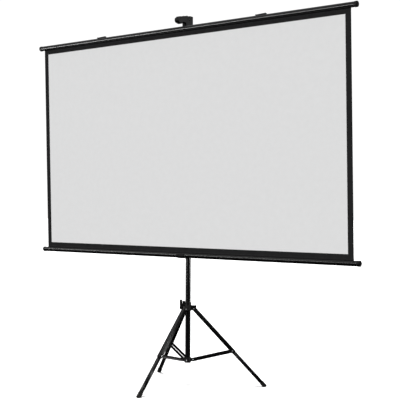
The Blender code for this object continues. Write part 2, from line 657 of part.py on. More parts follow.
def sheet(frame):
    """The fabric: a flat sheet whose top and bottom edges are sleeves round the hem rods."""
    low = HEM_DROP
    high = SCREEN_RISE - HEM_DROP
    half = SHEET_THICKNESS / 2
    flat = [(-half, low), (half, low), (half, high), (-half, high)]
    fabric = add(
        "screen_fabric", prism("fabric", flat, -SHEET_HALF, SHEET_HALF), WHITE_FABRIC, frame
    )
    around = prism("sleeve", circle((0, 0), SLEEVE_RADIUS, SMALL_ROUND), -SHEET_HALF, SHEET_HALF)
    bore = prism(
        "sleeve_bore", circle((0, 0), ROD_RADIUS + GAP, SMALL_ROUND), -BAR_HALF, BAR_HALF
    )
    for height in (low, high):
        fuse(fabric, around, (0, 0, height))
    for height in (low, high):
        cut(fabric, bore, (0, 0, height))
    length = prism("hem_rod", circle((0, 0), ROD_RADIUS, SMALL_ROUND), -SHEET_HALF, SHEET_HALF)
    add("bottom_hem_rod", length, STEEL, frame, (0, 0, low))
    add("top_hem_rod", length, STEEL, frame, (0, 0, high))


def folding_hanger(name, place, frame):
    """A base on the top bar, with ears and their pin, and the lever that folds up to hang the bar."""
    half = FOLDER_LENGTH / 2
    side = FOLDER_WIDTH / 2
    deck = BAR_RADIUS + FOLDER_BASE
    pin_x = half - FOLDER_PIN_INSET
    pin_z = deck + 2 * GAP + FOLDER_EYE_RADIUS
    spot = (place, 0, SCREEN_RISE)
    seat = BAR_RADIUS / 2
    block = box("hanger_base", (-half, half), (-side, side), (seat, deck))
    base = add(f"{name}_hanger_base", block, BLACK_PAINT, frame, spot)
    ear_root = seat + FOLDER_BASE
    ear = [(pin_x - FOLDER_EYE_RADIUS, ear_root), (pin_x + FOLDER_EYE_RADIUS, ear_root)]
    ear += arc((pin_x, pin_z), FOLDER_EYE_RADIUS, 0, pi, 6)
    for near in (-side, side - FOLDER_EAR):
        fuse(base, prism("hanger_ear", ear, near, near + FOLDER_EAR, "Y"))
    pin = rod("hanger_pin", FOLDER_PIN_DIAMETER / 2, -side + GAP, side - GAP, SMALL_ROUND)
    fuse(base, pin, (pin_x, 0, pin_z), (pi / 2, 0, 0))
    saddle = prism("hanger_saddle", circle((0, 0), BAR_RADIUS + GAP, 2 * ROUND), -2 * half, 2 * half)
    cut(base, saddle)
    inside = side - FOLDER_EAR - GAP
    floor = -FOLDER_EYE_RADIUS
    tip = -half - pin_x
    outline = arc((0, 0), FOLDER_EYE_RADIUS, -pi / 2, pi * 0.6, 8)
    outline += [(tip + LEVER_LIP_LENGTH, floor + LEVER_TIP_THICKNESS)]
    outline += [(tip + LEVER_LIP_LENGTH, floor + LEVER_LIP_HEIGHT), (tip, floor + LEVER_LIP_HEIGHT)]
    outline += [(tip, floor)]
    pivot = empty(f"{name}_hanger_axis", frame, (place + pin_x, 0, SCREEN_RISE + pin_z))
    strip = prism("hanger_lever", outline, -inside, inside, "Y")
    lever = add(f"{name}_hanger_lever", strip, BLACK_PAINT, pivot)
    eye = rod("lever_eye", FOLDER_PIN_DIAMETER / 2 + GAP, -side, side, SMALL_ROUND)
    cut(lever, eye, (0, 0, 0), (pi / 2, 0, 0))


def mast_head(mast):
    """The block on the top tube, its lug for the hook arm and its tongue for the bar hanger."""
    half = HEAD_WIDTH / 2
    stem_top = HEAD_TOP - STEM_DROP
    back = box("mast_head", (-half, half), (-HEAD_FRONT, HEAD_BACK), (HEAD_FOOT, HEAD_TOP))
    head = add("mast_head", back, BLACK_PLASTIC, mast)
    fuse(head, box("head_stem", (-half, half), (-STEM_REACH, 0), (HEAD_FOOT, stem_top)))
    pivot = (-HOOK_PIVOT_REACH, HEAD_TOP - HOOK_PIVOT_DROP)
    lug_half = half - CHEEK_THICKNESS - GAP
    lug_root = stem_top - HEAD_LUG_RADIUS / 2
    lug = arc(pivot, HEAD_LUG_RADIUS, 0, pi, 10)
    lug += [(pivot[0] - HEAD_LUG_RADIUS, lug_root), (pivot[0] + HEAD_LUG_RADIUS, lug_root)]
    fuse(head, prism("head_lug", lug, -lug_half, lug_half))
    width = TONGUE_WIDTH / 2
    rise_front = -TOP_BAR_REACH + TONGUE_SETBACK - TONGUE_THICKNESS / 2
    rise_back = rise_front + TONGUE_THICKNESS
    base_top = HEAD_FOOT + TONGUE_BASE
    fuse(head, box("tongue_base", (-width, width), (rise_front, -HEAD_FRONT), (HEAD_FOOT, base_top)))
    tip = base_top + TONGUE_RISE
    fuse(head, box("tongue", (-width, width), (rise_front, rise_back), (HEAD_FOOT, tip)))
    add_bore(head, TOP_RADIUS, HEAD_FOOT - GAP, TOP_TUBE_END + GAP)
    hole = rod("hook_pin_hole", PIN_HOLE, -HEAD_WIDTH, HEAD_WIDTH, SMALL_ROUND)
    cut(head, hole, (0, *pivot), ALONG_X)
    add("hook_pin", headed_pin("hook_pin", half + GAP), STEEL, mast, (0, *pivot), ALONG_X)
    hook_arm(pivot, mast)


def hook_arm(pivot, mast):
    """The ridged arm over the top bar, forked at its rear, where it turns on the head's lug."""
    frame = empty("hook_arm_axis", mast, (0, *pivot))
    rear = min(HOOK_PIVOT_REACH - HEAD_FRONT, STEM_DROP - HOOK_PIVOT_DROP) - GAP
    nose = (HOOK_PIVOT_REACH + HOOK_NOSE_RADIUS - HOOK_REACH, -HOOK_NOSE_DROP)
    run = hypot(*nose)
    slope = atan2(HOOK_NOSE_DROP, -nose[0]) + asin((rear - HOOK_NOSE_RADIUS) / run)
    top_length = (run ** 2 - (rear - HOOK_NOSE_RADIUS) ** 2) ** 0.5

    def on_top(share, height):
        along, up = top_length * share, rear + height
        return (-along * cos(slope) - up * sin(slope), up * cos(slope) - along * sin(slope))

    outline = arc((0, 0), rear, -pi / 2, pi / 2 + slope, 12)
    foot, crest = RIDGE_FOOT_SHARE, RIDGE_CREST_SHARE
    for place in RIDGE_PLACES:
        outline += [on_top(place - foot, 0), on_top(place - crest, HOOK_RIDGE_HEIGHT)]
        outline += [on_top(place + crest, HOOK_RIDGE_HEIGHT), on_top(place + foot, 0)]
    outline += arc(nose, HOOK_NOSE_RADIUS, pi / 2 + slope, 3 * pi / 2 - radians(20), 8)
    tooth = -HOOK_TOOTH_PLACE
    outline += [(tooth - HOOK_TOOTH_LENGTH / 2, -HOOK_TOOTH_DROP)]
    outline += [(tooth + HOOK_TOOTH_LENGTH / 2, -HOOK_TOOTH_DROP)]
    stem_front = HOOK_PIVOT_REACH - STEM_REACH - GAP
    outline += [(tooth + HOOK_TOOTH_LENGTH, -HOOK_THROAT_DROP), (stem_front, -HOOK_THROAT_DROP)]
    outline += [(stem_front, -rear)]
    half = HEAD_WIDTH / 2
    arm = add("hook_arm", prism("hook_arm", outline, -half, half), BLACK_PLASTIC, frame)
    slot_half = half - CHEEK_THICKNESS
    hood = HEAD_LUG_RADIUS + GAP
    far = 2 * HOOK_REACH
    slot = arc((0, 0), hood, pi / 2, pi, 6) + [(-hood, -far), (far, -far), (far, far), (0, far)]
    cut(arm, prism("lug_slot", slot, -slot_half, slot_half))
    cut(arm, rod("hook_eye", PIN_HOLE, -HEAD_WIDTH, HEAD_WIDTH, SMALL_ROUND), (0, 0, 0), ALONG_X)


def bar_hanger(mast):
    """The block fixed behind the top bar, with a slot for the tongue."""
    low = HEAD_FOOT + TONGUE_BASE + GAP
    half = HANGER_WIDTH / 2
    near = -TOP_BAR_REACH + BAR_RADIUS / 2
    far = -TOP_BAR_REACH + BAR_RADIUS + HANGER_DEPTH
    block = box("bar_hanger", (-half, half), (near, far), (low, low + HANGER_HEIGHT))
    hanger = add("bar_hanger", block, BLACK_PLASTIC, mast)
    tube = circle((-TOP_BAR_REACH, TOP_BAR_HEIGHT), BAR_RADIUS + GAP, 2 * ROUND)
    cut(hanger, prism("hanger_seat", tube, -HANGER_WIDTH, HANGER_WIDTH))
    width = TONGUE_WIDTH / 2 + GAP
    middle = -TOP_BAR_REACH + TONGUE_SETBACK
    depth = TONGUE_THICKNESS / 2 + GAP
    through = (low - HANGER_HEIGHT, low + 2 * HANGER_HEIGHT)
    slot = box("tongue_slot", (-width, width), (middle - depth, middle + depth), through)
    cut(hanger, slot)


def build():
    for item in list(bpy.data.objects):
        bpy.data.objects.remove(item, do_unlink=True)
    stand = empty("stand")
    mast = empty("mast", stand)
    lower_mast(mast)
    brace_hub(mast)
    leg_collar(mast)
    for name, azimuth in SPOKES.items():
        spoke(name, azimuth, mast)
    middle_mast(mast)
    bottom_clip(mast)
    mast_tube("top_tube", TOP_RADIUS, TUBE_WALL, TOP_TUBE_FOOT, TOP_TUBE_END, mast)
    tube_bush("top_tube_bush", TOP_RADIUS, TUBE_WALL, MIDDLE_RADIUS - TUBE_WALL, TOP_TUBE_FOOT, mast)
    mast_head(mast)
    bar_hanger(mast)
    screen = empty("screen", mast, (0, -BOTTOM_BAR_REACH, BOTTOM_BAR_HEIGHT), (LEAN, 0, 0))
    bar("bottom_bar", 1, screen, 0)
    bar("top_bar", -1, screen, SCREEN_RISE)
    sheet(screen)
    for name, place in FOLDER_PLACES.items():
        folding_hanger(name, place, screen)
    centre_on_outline(mast)


def centre_on_outline(mast):
    """Move the mast back so that the front boot and the rear boots lie equally far from the origin."""
    bpy.context.view_layer.update()
    graph = bpy.context.evaluated_depsgraph_get()
    depths = []
    for name in SPOKES:
        piece = bpy.data.objects[f"{name}_boot"].evaluated_get(graph)
        depths += [(piece.matrix_world @ vertex.co).y for vertex in piece.data.vertices]
    mast.location.y = -(min(depths) + max(depths)) / 2


BLACK_PAINT = material("black_paint", (0.012, 0.012, 0.013), 0.38, 0.0)
BLACK_PLASTIC = material("black_plastic", (0.014, 0.014, 0.015), 0.5, 0.0)
STEEL = material("steel", (0.55, 0.55, 0.56), 0.3, 1.0)
RUBBER = material("rubber", (0.01, 0.01, 0.01), 0.8, 0.0)
WHITE_FABRIC = material("white_fabric", (0.72, 0.72, 0.72), 0.9, 0.0)

build()
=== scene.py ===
import json
from math import asin, atan2, cos, hypot, pi, radians, sin, tan

import bmesh
import bpy
from mathutils import Matrix, Vector, noise

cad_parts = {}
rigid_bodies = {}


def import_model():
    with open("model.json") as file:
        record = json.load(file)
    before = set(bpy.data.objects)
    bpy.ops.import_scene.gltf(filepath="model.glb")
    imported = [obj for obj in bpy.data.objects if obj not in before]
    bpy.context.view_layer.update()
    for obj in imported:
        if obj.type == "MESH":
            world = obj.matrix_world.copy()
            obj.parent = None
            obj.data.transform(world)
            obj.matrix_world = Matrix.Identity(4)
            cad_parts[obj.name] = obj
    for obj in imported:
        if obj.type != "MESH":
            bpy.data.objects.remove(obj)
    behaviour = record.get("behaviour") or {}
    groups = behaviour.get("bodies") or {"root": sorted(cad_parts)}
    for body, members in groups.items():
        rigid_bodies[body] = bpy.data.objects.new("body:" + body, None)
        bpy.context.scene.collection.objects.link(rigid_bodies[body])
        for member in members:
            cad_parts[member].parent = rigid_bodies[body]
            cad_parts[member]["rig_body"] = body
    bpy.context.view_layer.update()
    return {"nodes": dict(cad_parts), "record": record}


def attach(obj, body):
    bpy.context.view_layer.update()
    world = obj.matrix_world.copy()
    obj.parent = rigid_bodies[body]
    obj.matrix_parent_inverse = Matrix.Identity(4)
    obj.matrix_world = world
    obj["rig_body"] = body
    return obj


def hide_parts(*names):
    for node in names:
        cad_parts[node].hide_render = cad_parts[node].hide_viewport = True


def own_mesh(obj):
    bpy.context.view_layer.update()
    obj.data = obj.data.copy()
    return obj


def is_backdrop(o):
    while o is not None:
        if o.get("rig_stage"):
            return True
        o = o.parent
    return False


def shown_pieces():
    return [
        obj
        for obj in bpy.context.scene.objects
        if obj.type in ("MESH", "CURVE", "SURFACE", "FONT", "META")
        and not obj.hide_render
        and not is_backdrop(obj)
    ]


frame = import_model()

slotOfNode = {part["node"]: part["material_slot"] for part in frame["record"]["subparts"]}
scene = bpy.context.scene

# The places that everything hangs from, as in the CAD model, in metres
stand = {
    "mastY": 0.10833,
    "legPivot": (0.037, 0.456),  # out from the mast, up from the floor
    "legAngle": radians(43.2),
    "braceJoint": 0.339,  # down the leg from its pivot
    "hubPivot": (0.032, 0.1525),
    "spokes": {"front": radians(1.75), "right": radians(121.75), "left": radians(-118.25)},
    "gap": 0.0003,
}
gap = stand["gap"]
past = 0.01  # how far a cutting tool runs past the face that it opens
fineSteps = 96  # round a shape that shows
at = Matrix.Translation
mastPlace = at((0, stand["mastY"], 0))


def turned(angle, axis):
    return Matrix.Rotation(angle, 4, axis)


def tuned(thing, settings):  # its attributes set by their names
    for name, value in settings.items():
        setattr(thing, name, value)
    return thing


def painted(piece, *finishes):
    for finish in finishes:
        piece.data.materials.append(finish)
    return piece


def placed(name, data):
    made = bpy.data.objects.new(name, data)
    scene.collection.objects.link(made)
    return made


# Shapes

def asObject(name, shape):
    mesh = bpy.data.meshes.new(name)
    shape.to_mesh(mesh)
    shape.free()
    mesh.shade_smooth()
    mesh.set_sharp_from_angle(angle=radians(35))
    return placed(name, mesh)


def arc(centre, radius, start, stop, steps):
    angles = [start + (stop - start) * i / steps for i in range(steps + 1)]
    return [(centre[0] + radius * cos(a), centre[1] + radius * sin(a)) for a in angles]


def circle(centre, radius, steps=64):
    return arc(centre, radius, 0, 2 * pi * (steps - 1) / steps, steps - 1)


def strip(start, end, radius, steps=16):  # round-ended strip about two points
    heading = atan2(end[1] - start[1], end[0] - start[0])
    return (arc(end, radius, heading - pi / 2, heading + pi / 2, steps)
            + arc(start, radius, heading + pi / 2, heading + 3 * pi / 2, steps))


def rounded(points, radius, closed=True, steps=4):  # a third number is that corner's own radius
    made = []
    last = len(points) - 1
    for i, point in enumerate(points):
        corner = Vector(point[:2])
        size = point[2] if len(point) > 2 else radius
        before = Vector(points[i - 1][:2]) - corner
        after = Vector(points[(i + 1) % len(points)][:2]) - corner
        if size == 0 or (not closed and i in (0, last)) or before.angle(after) > radians(178):
            made.append(tuple(corner))
            continue
        reach = min(size / tan(before.angle(after) / 2), 0.49 * before.length, 0.49 * after.length)
        a = corner + before.normalized() * reach
        b = corner + after.normalized() * reach
        for step in range(steps + 1):
            t = step / steps
            made.append(tuple(a * (1 - t) ** 2 + corner * (2 * t * (1 - t)) + b * t ** 2))
    return made


def roundedRectangle(width, depth, corner):
    points = []
    for turn, (sx, sy) in enumerate([(1, 1), (-1, 1), (-1, -1), (1, -1)]):
        centre = (sx * (width / 2 - corner), sy * (depth / 2 - corner))
        points += arc(centre, corner, turn * pi / 2, (turn + 1) * pi / 2, 6)
    return points


def slab(name, outline, low, high, axis="X"):  # outline is (y, z) for X, (x, z) for Y, (x, y) for Z
    along = "XYZ".index(axis)
    pull = [0, 0, 0]
    pull[along] = high - low
    shape = bmesh.new()
    face = shape.faces.new([shape.verts.new((*point[:along], low, *point[along:])) for point in outline])
    pulled = bmesh.ops.extrude_face_region(shape, geom=[face], use_keep_orig=True)
    ends = [item for item in pulled["geom"] if isinstance(item, bmesh.types.BMVert)]
    bmesh.ops.translate(shape, verts=ends, vec=pull)
    bmesh.ops.recalc_face_normals(shape, faces=shape.faces)
    return asObject(name, shape)


def block(name, x, y, z, corner=0.0):
    outline = [(x[0], y[0]), (x[1], y[0]), (x[1], y[1]), (x[0], y[1])]
    return slab(name, rounded(outline, corner) if corner else outline, z[0], z[1], "Z")


def spun(name, profile, steps=fineSteps):  # (radius, z) points round Z, closed on itself or at the axis
    shape = bmesh.new()
    points = [shape.verts.new((r, 0, z)) for r, z in profile]
    edges = [shape.edges.new(pair) for pair in zip(points, points[1:])]
    if profile[0][0] > 0 or profile[-1][0] > 0:
        edges.append(shape.edges.new((points[-1], points[0])))
    bmesh.ops.spin(shape, geom=points + edges, angle=2 * pi, steps=steps, axis=(0, 0, 1), cent=(0, 0, 0))
    bmesh.ops.remove_doubles(shape, verts=shape.verts, dist=1e-7)
    bmesh.ops.recalc_face_normals(shape, faces=shape.faces)
    return asObject(name, shape)


def lathed(name, points, corner, steps=fineSteps, cornerSteps=4):
    return spun(name, rounded(points, corner, points[0][0] > 0, cornerSteps), steps)


def rod(name, radius, low, high, steps=48):
    return spun(name, [(0, low), (radius, low), (radius, high), (0, high)], steps)


def moved(piece, place):
    piece.data.transform(place)
    return piece


def modified(piece, kind, **settings):
    tuned(piece.modifiers.new(kind.lower(), kind), settings)
    return piece


def settled(piece):  # the modifiers' result as a plain mesh
    graph = bpy.context.evaluated_depsgraph_get()
    mesh = bpy.data.meshes.new_from_object(piece.evaluated_get(graph))
    piece.modifiers.clear()
    old = piece.data
    piece.data = mesh
    bpy.data.meshes.remove(old)
    mesh.name = piece.name
    return piece


def joined(piece, *others):  # one mesh of several overlapping ones
    shape = bmesh.new()
    shape.from_mesh(piece.data)
    for other in others:
        shape.from_mesh(other.data)
        bpy.data.objects.remove(other)
    shape.to_mesh(piece.data)
    shape.free()
    return piece


def without(piece, *tools):
    for tool in tools:
        settled(modified(piece, "BOOLEAN", operation="DIFFERENCE", solver="EXACT", use_self=True,
                         object=tool))
        bpy.data.objects.remove(tool)
    return piece


def withEdges(piece, width, segments):  # broken edges on a plain shape
    settled(modified(piece, "BEVEL", width=width, segments=segments, limit_method="ANGLE",
                     angle_limit=radians(60), use_clamp_overlap=False))
    piece.data.shade_smooth()
    piece.data.set_sharp_from_angle(angle=radians(50))


def moulded(piece, voxel, passes=3, keep=0.3):  # fused into one skin with the soft edges of a casting
    modified(piece, "REMESH", mode="VOXEL", voxel_size=voxel)
    modified(piece, "SMOOTH", factor=0.5, iterations=passes)
    settled(modified(piece, "DECIMATE", ratio=keep))
    piece.data.shade_smooth()
    return piece


# Repeats, made with Geometry Nodes

def wired(tree, node, wires):  # from a node, its output, to a node, its input
    for source, output, target, socket in wires:
        tree.links.new(node[source].outputs[output], node[target].inputs[socket])


def repeatTree(name, around):
    tree = bpy.data.node_groups.new(name, "GeometryNodeTree")
    sockets = {"Shape": "Object", "Count": "Int", "Finish": "Material", "Jitter": "Float", "Seed": "Int"}
    sockets.update({"Radius": "Float"} if around else {"Start": "Vector", "Step": "Vector"})
    for socket, kind in sockets.items():
        tree.interface.new_socket(socket, in_out="INPUT", socket_type=f"NodeSocket{kind}")
    tree.interface.new_socket("Geometry", in_out="OUTPUT", socket_type="NodeSocketGeometry")
    node = {key: tree.nodes.new(kind) for key, kind in {
        "in": "NodeGroupInput", "out": "NodeGroupOutput", "shape": "GeometryNodeObjectInfo",
        "points": "GeometryNodeMeshCircle" if around else "GeometryNodeMeshLine",
        "place": "GeometryNodeInstanceOnPoints", "real": "GeometryNodeRealizeInstances",
        "paint": "GeometryNodeSetMaterial", "index": "GeometryNodeInputIndex",
        "turn": "ShaderNodeMath", "angle": "ShaderNodeMath", "low": "ShaderNodeMath",
        "spread": "FunctionNodeRandomValue", "sum": "ShaderNodeMath", "spin": "ShaderNodeCombineXYZ",
    }.items()}
    operations = {"turn": "DIVIDE", "angle": "MULTIPLY", "low": "MULTIPLY", "sum": "ADD"}
    for key, operation in operations.items():
        node[key].operation = operation
    node["turn"].inputs[0].default_value = 2 * pi if around else 0.0
    node["low"].inputs[1].default_value = -1.0
    node["shape"].transform_space = "ORIGINAL"
    if around:
        wires = [("in", "Count", "points", "Vertices"), ("in", "Radius", "points", "Radius")]
    else:
        wires = [("in", "Count", "points", "Count"), ("in", "Start", "points", "Start Location"),
                 ("in", "Step", "points", "Offset")]
    wired(tree, node, wires + [
        ("in", "Shape", "shape", "Object"), ("in", "Count", "turn", 1), ("turn", 0, "angle", 0),
        ("index", 0, "angle", 1), ("in", "Jitter", "low", 0), ("low", 0, "spread", 2),
        ("in", "Jitter", "spread", 3), ("in", "Seed", "spread", "Seed"), ("angle", 0, "sum", 0),
        ("spread", 1, "sum", 1), ("sum", 0, "spin", "Z" if around else "Y"),
        ("points", 0, "place", "Points"), ("shape", "Geometry", "place", "Instance"),
        ("spin", 0, "place", "Rotation"), ("place", 0, "real", 0), ("real", 0, "paint", "Geometry"),
        ("in", "Finish", "paint", "Material"), ("paint", 0, "out", 0)])
    return tree


ringRepeat = repeatTree("repeat round a ring", True)
lineRepeat = repeatTree("repeat along a line", False)


def repeated(name, tree, shape, **values):
    holder = placed(name, bpy.data.meshes.new(name))
    nodes = holder.modifiers.new("repeat", "NODES")
    nodes.node_group = tree
    values = {"Shape": shape, "Jitter": 0.0, "Seed": 7, **values}
    for item in tree.interface.items_tree:
        if item.name in values:
            nodes[item.identifier] = values[item.name]
    settled(holder)
    bpy.data.objects.remove(shape)
    return holder


# Finishes

def added(tree, kind, values=None, **settings):  # a node with its settings and its fixed inputs
    node = tuned(tree.nodes.new(kind), settings)
    for socket, value in (values or {}).items():
        node.inputs[socket].default_value = value
    return node


def startFinish(name, colour, roughness, gloss=0.5, metallic=0.0):
    finish = bpy.data.materials.new(name)
    finish.use_nodes = True
    shader = finish.node_tree.nodes["Principled BSDF"]
    for socket, value in {"Base Color": (*colour, 1), "Roughness": roughness, "Specular IOR Level": gloss,
                          "Metallic": metallic}.items():
        shader.inputs[socket].default_value = value
    return finish, finish.node_tree, shader


def coordinates(tree, stretch=(1, 1, 1)):
    where = added(tree, "ShaderNodeTexCoord")
    mapping = added(tree, "ShaderNodeMapping", {"Scale": stretch})
    tree.links.new(where.outputs["Object"], mapping.inputs["Vector"])
    return mapping.outputs["Vector"]


def noiseField(tree, scale, detail, stretch=(1, 1, 1)):
    field = added(tree, "ShaderNodeTexNoise", {"Scale": scale, "Detail": detail})
    tree.links.new(coordinates(tree, stretch), field.inputs["Vector"])
    return field.outputs["Fac"]


def waveField(tree, scale, direction):
    field = added(tree, "ShaderNodeTexWave", {"Scale": scale},
                  wave_type="BANDS", bands_direction=direction)
    tree.links.new(coordinates(tree), field.inputs["Vector"])
    return field.outputs["Fac"]


def spreadTo(tree, field, low, high, socket):  # a noise field's range onto a socket
    span = added(tree, "ShaderNodeMapRange",
                 {"From Min": 0.3, "From Max": 0.7, "To Min": low, "To Max": high})
    tree.links.new(field, span.inputs["Value"])
    tree.links.new(span.outputs["Result"], socket)


def tinted(tree, field, dark, light, socket, window=(0.35, 0.65)):
    ramp = added(tree, "ShaderNodeValToRGB")
    for element, place, colour in zip(ramp.color_ramp.elements, window, (dark, light)):
        element.position = place
        element.color = (*colour, 1)
    tree.links.new(field, ramp.inputs["Fac"])
    tree.links.new(ramp.outputs["Color"], socket)


def bumped(tree, shader, field, distance, strength):
    bump = added(tree, "ShaderNodeBump", {"Distance": distance, "Strength": strength})
    tree.links.new(field, bump.inputs["Height"])
    tree.links.new(bump.outputs["Normal"], shader.inputs["Normal"])


# Each grain is a scale, a detail and, where it runs one way, a stretch. Relief is a depth and a strength.
powder = {  # satin black paint with a fine orange peel
    "dark": (0.0012, 0.0012, 0.0013), "light": (0.0028, 0.0028, 0.003),
    "gloss": 0.4, "rough": (0.2, 0.28),
    "tintGrain": (90, 4), "roughGrain": (260, 5), "reliefGrain": (1100, 2), "relief": (0.00006, 0.5),
}
drawn = (1, 1, 0.03)
mastPowder = {**powder, "tintGrain": (90, 4, drawn), "roughGrain": (260, 5, drawn)}
nylon = {  # with the grain of an etched mould
    "dark": (0.0016, 0.0016, 0.0018), "light": (0.0045, 0.0045, 0.0048),
    "gloss": 0.26, "rough": (0.42, 0.6),
    "tintGrain": (140, 5), "roughGrain": (400, 3), "reliefGrain": (2400, 3), "relief": (0.00008, 0.6),
}
zinc = {  # plated steel, faintly brushed
    "dark": (0.42, 0.43, 0.45), "light": (0.66, 0.66, 0.67),
    "gloss": 0.5, "rough": (0.22, 0.4), "metallic": 1.0,
    "tintGrain": (500, 4), "roughGrain": (900, 3, (1, 1, 0.1)),
    "reliefGrain": (3000, 2), "relief": (0.00002, 0.4),
}
blackened = {**zinc, "dark": (0.012, 0.012, 0.013), "light": (0.03, 0.03, 0.032)}
bootRubber = {  # matt, a little dusty
    "dark": (0.006, 0.006, 0.006), "light": (0.02, 0.019, 0.018), "gloss": 0.3, "rough": (0.68, 0.9),
    "tintGrain": (350, 6), "roughGrain": (700, 3), "reliefGrain": (1500, 3), "relief": (0.0001, 0.6),
}


def grained(name, look):
    finish, tree, shader = startFinish(name, look["light"], look["rough"][1], look["gloss"],
                                       look.get("metallic", 0.0))
    tinted(tree, noiseField(tree, *look["tintGrain"]), look["dark"], look["light"],
           shader.inputs["Base Color"])
    spreadTo(tree, noiseField(tree, *look["roughGrain"]), *look["rough"], shader.inputs["Roughness"])
    bumped(tree, shader, noiseField(tree, *look["reliefGrain"]), *look["relief"])
    return finish


weave = {"threadsPerMetre": 1400, "gloss": 0.2, "tintGrain": (35, 6), "strength": 0.5}


def cloth(name, dark, light, roughness, relief, sheen=0.0):  # a plain weave along X and up the sheet
    finish, tree, shader = startFinish(name, light, roughness, weave["gloss"])
    shader.inputs["Sheen Weight"].default_value = sheen
    waveScale = weave["threadsPerMetre"] * 2 * pi / 20
    crossing = added(tree, "ShaderNodeMath", operation="MULTIPLY")
    for socket, direction in enumerate("XZ"):
        tree.links.new(waveField(tree, waveScale, direction), crossing.inputs[socket])
    tinted(tree, noiseField(tree, *weave["tintGrain"]), dark, light,
           shader.inputs["Base Color"], (0.3, 0.7))
    bumped(tree, shader, crossing.outputs[0], relief, weave["strength"])
    return finish


barPaint = grained("black powder coat", powder)
tubePaint = grained("black powder coat on the mast", mastPowder)
plastic = grained("black nylon", nylon)
steel = grained("zinc plated steel", zinc)
blackSteel = grained("blackened steel", blackened)
rubber = grained("black rubber", bootRubber)
whiteCloth = cloth("matt white projection cloth", (0.84, 0.842, 0.844), (0.86, 0.862, 0.864),
                   0.92, 0.00004)
borderCloth = cloth("black border print", (0.0105, 0.0105, 0.011), (0.0145, 0.0145, 0.015),
                    0.85, 0.00005)
backCloth = cloth("black cloth backing", (0.011, 0.011, 0.012), (0.018, 0.018, 0.019),
                  0.8, 0.0001, 0.1)
threadFinish = cloth("black sewing thread", (0.012, 0.012, 0.013), (0.022, 0.022, 0.024),
                     0.6, 0.00003, 0.2)
finishOfSlot = {"black_paint": barPaint, "black_plastic": plastic, "steel": steel,
                "rubber": rubber, "white_fabric": whiteCloth}
print("finishes made")


def standsFor(piece, node, place=mastPlace, finish=plastic):  # rides with the node's body, in the finish given, if any
    if finish:
        piece.data.materials.clear()
        painted(piece, finish)
    moved(piece, place)
    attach(piece, frame["nodes"][node]["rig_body"])
    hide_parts(node)


# Mast

mast = {
    "tubes": {  # radius, wall, foot, end
        "lower_tube": (0.016, 0.0013, 0.1373, 0.802),
        "middle_tube": (0.013, 0.0012, 0.500, 1.540),
        "top_tube": (0.011, 0.0012, 1.209958, 2.174958),
    },
    "rim": 0.0005,
}


def makeTube(node, radius, wall, low, high):
    outline = [(radius - wall, low), (radius, low), (radius, high), (radius - wall, high)]
    standsFor(lathed(f"{node}_fine", outline, mast["rim"]), node, finish=tubePaint)


for node, size in mast["tubes"].items():
    makeTube(node, *size)

lock = {
    "collars": {  # lower tube's radius, upper tube's radius, foot
        "height_lock_collar": (0.016, 0.013, 0.780),
        "extension_lock_collar": (0.013, 0.011, 1.518),
    },
    "length": 0.050,
    "grip": 0.022,
    "wall": 0.004,
    "ribs": 20,
    "ribHigh": 0.016,
    "ribFoot": 0.006,
    "ribRadius": 0.0009,
    "bossRadius": 0.007,
    "bossReach": 0.0315,
    "screwHole": 0.0033,
    "screwRun": 0.05,
}
pin = {"radius": 0.0025, "hole": 0.0028, "head": 0.0042, "high": 0.0018, "run": 0.02}


def facing(height, azimuth):  # Z points out of the mast's axis
    return at((0, 0, height)) @ turned(azimuth, "Z") @ turned(pi / 2, "X")


def screwHole(here):
    return moved(rod("screw hole", lock["screwHole"], 0, lock["screwRun"]), here)


def spokeHoles(out, up):
    return [moved(rod("pin hole", pin["hole"], -pin["run"], pin["run"]),
                  turned(azimuth, "Z") @ at((0, -out, up)) @ turned(pi / 2, "Y"))
            for azimuth in stand["spokes"].values()]


def makeLockCollar(node, lower, upper, foot):
    outer = lower + gap + lock["wall"]
    top, shoulder = foot + lock["length"], foot + lock["grip"] + gap
    height = foot + (lock["length"] + lock["grip"]) / 2
    collar = lathed(f"{node}_fine", [
        (lower + gap, foot, 0.0004), (outer - 0.0006, foot), (outer, foot + 0.004), (outer, top - 0.003),
        (outer - 0.0012, top), (upper + gap, top, 0.0004), (upper + gap, shoulder, 0),
        (lower + gap, shoulder, 0)], 0.0012)
    ribFoot, reach, here = foot + lock["ribFoot"], lock["bossReach"], facing(height, pi)
    rib = slab("rib", strip((0, ribFoot), (0, ribFoot + lock["ribHigh"]), lock["ribRadius"], 6),
               -0.0006, 0.0006)
    ribs = repeated("ribs", ringRepeat, rib, Count=lock["ribs"], Radius=outer, Finish=plastic)
    boss = rod("boss", lock["bossRadius"], (upper + gap + outer) / 2, reach)
    web = block("web", (-0.002, 0.002), (outer - 0.002, reach - 0.006), (foot + 0.004, height))
    joined(collar, ribs, moved(boss, here), web)
    without(collar, rod("bore", upper + gap, foot - past, top + past, fineSteps),
            rod("socket", lower + gap, foot - past, shoulder, fineSteps), screwHole(here))
    standsFor(moulded(collar, 0.0005), node)


for node, size in lock["collars"].items():
    makeLockCollar(node, *size)
print("mast made")

# Wing knobs

knob = {
    "hub": 0.0085,
    "length": 0.0185,
    "wingStart": 0.002,
    "wingReach": 0.029,
    "wingTip": 0.0035,
    "bladeHalf": 0.0028,
    "dish": 0.0012,
    "places": {  # height, azimuth
        "collar_knob": (0.481, radians(-58.25)),
        "height_lock_knob": (0.816, pi),
        "extension_lock_knob": (1.554, pi),
    },
}


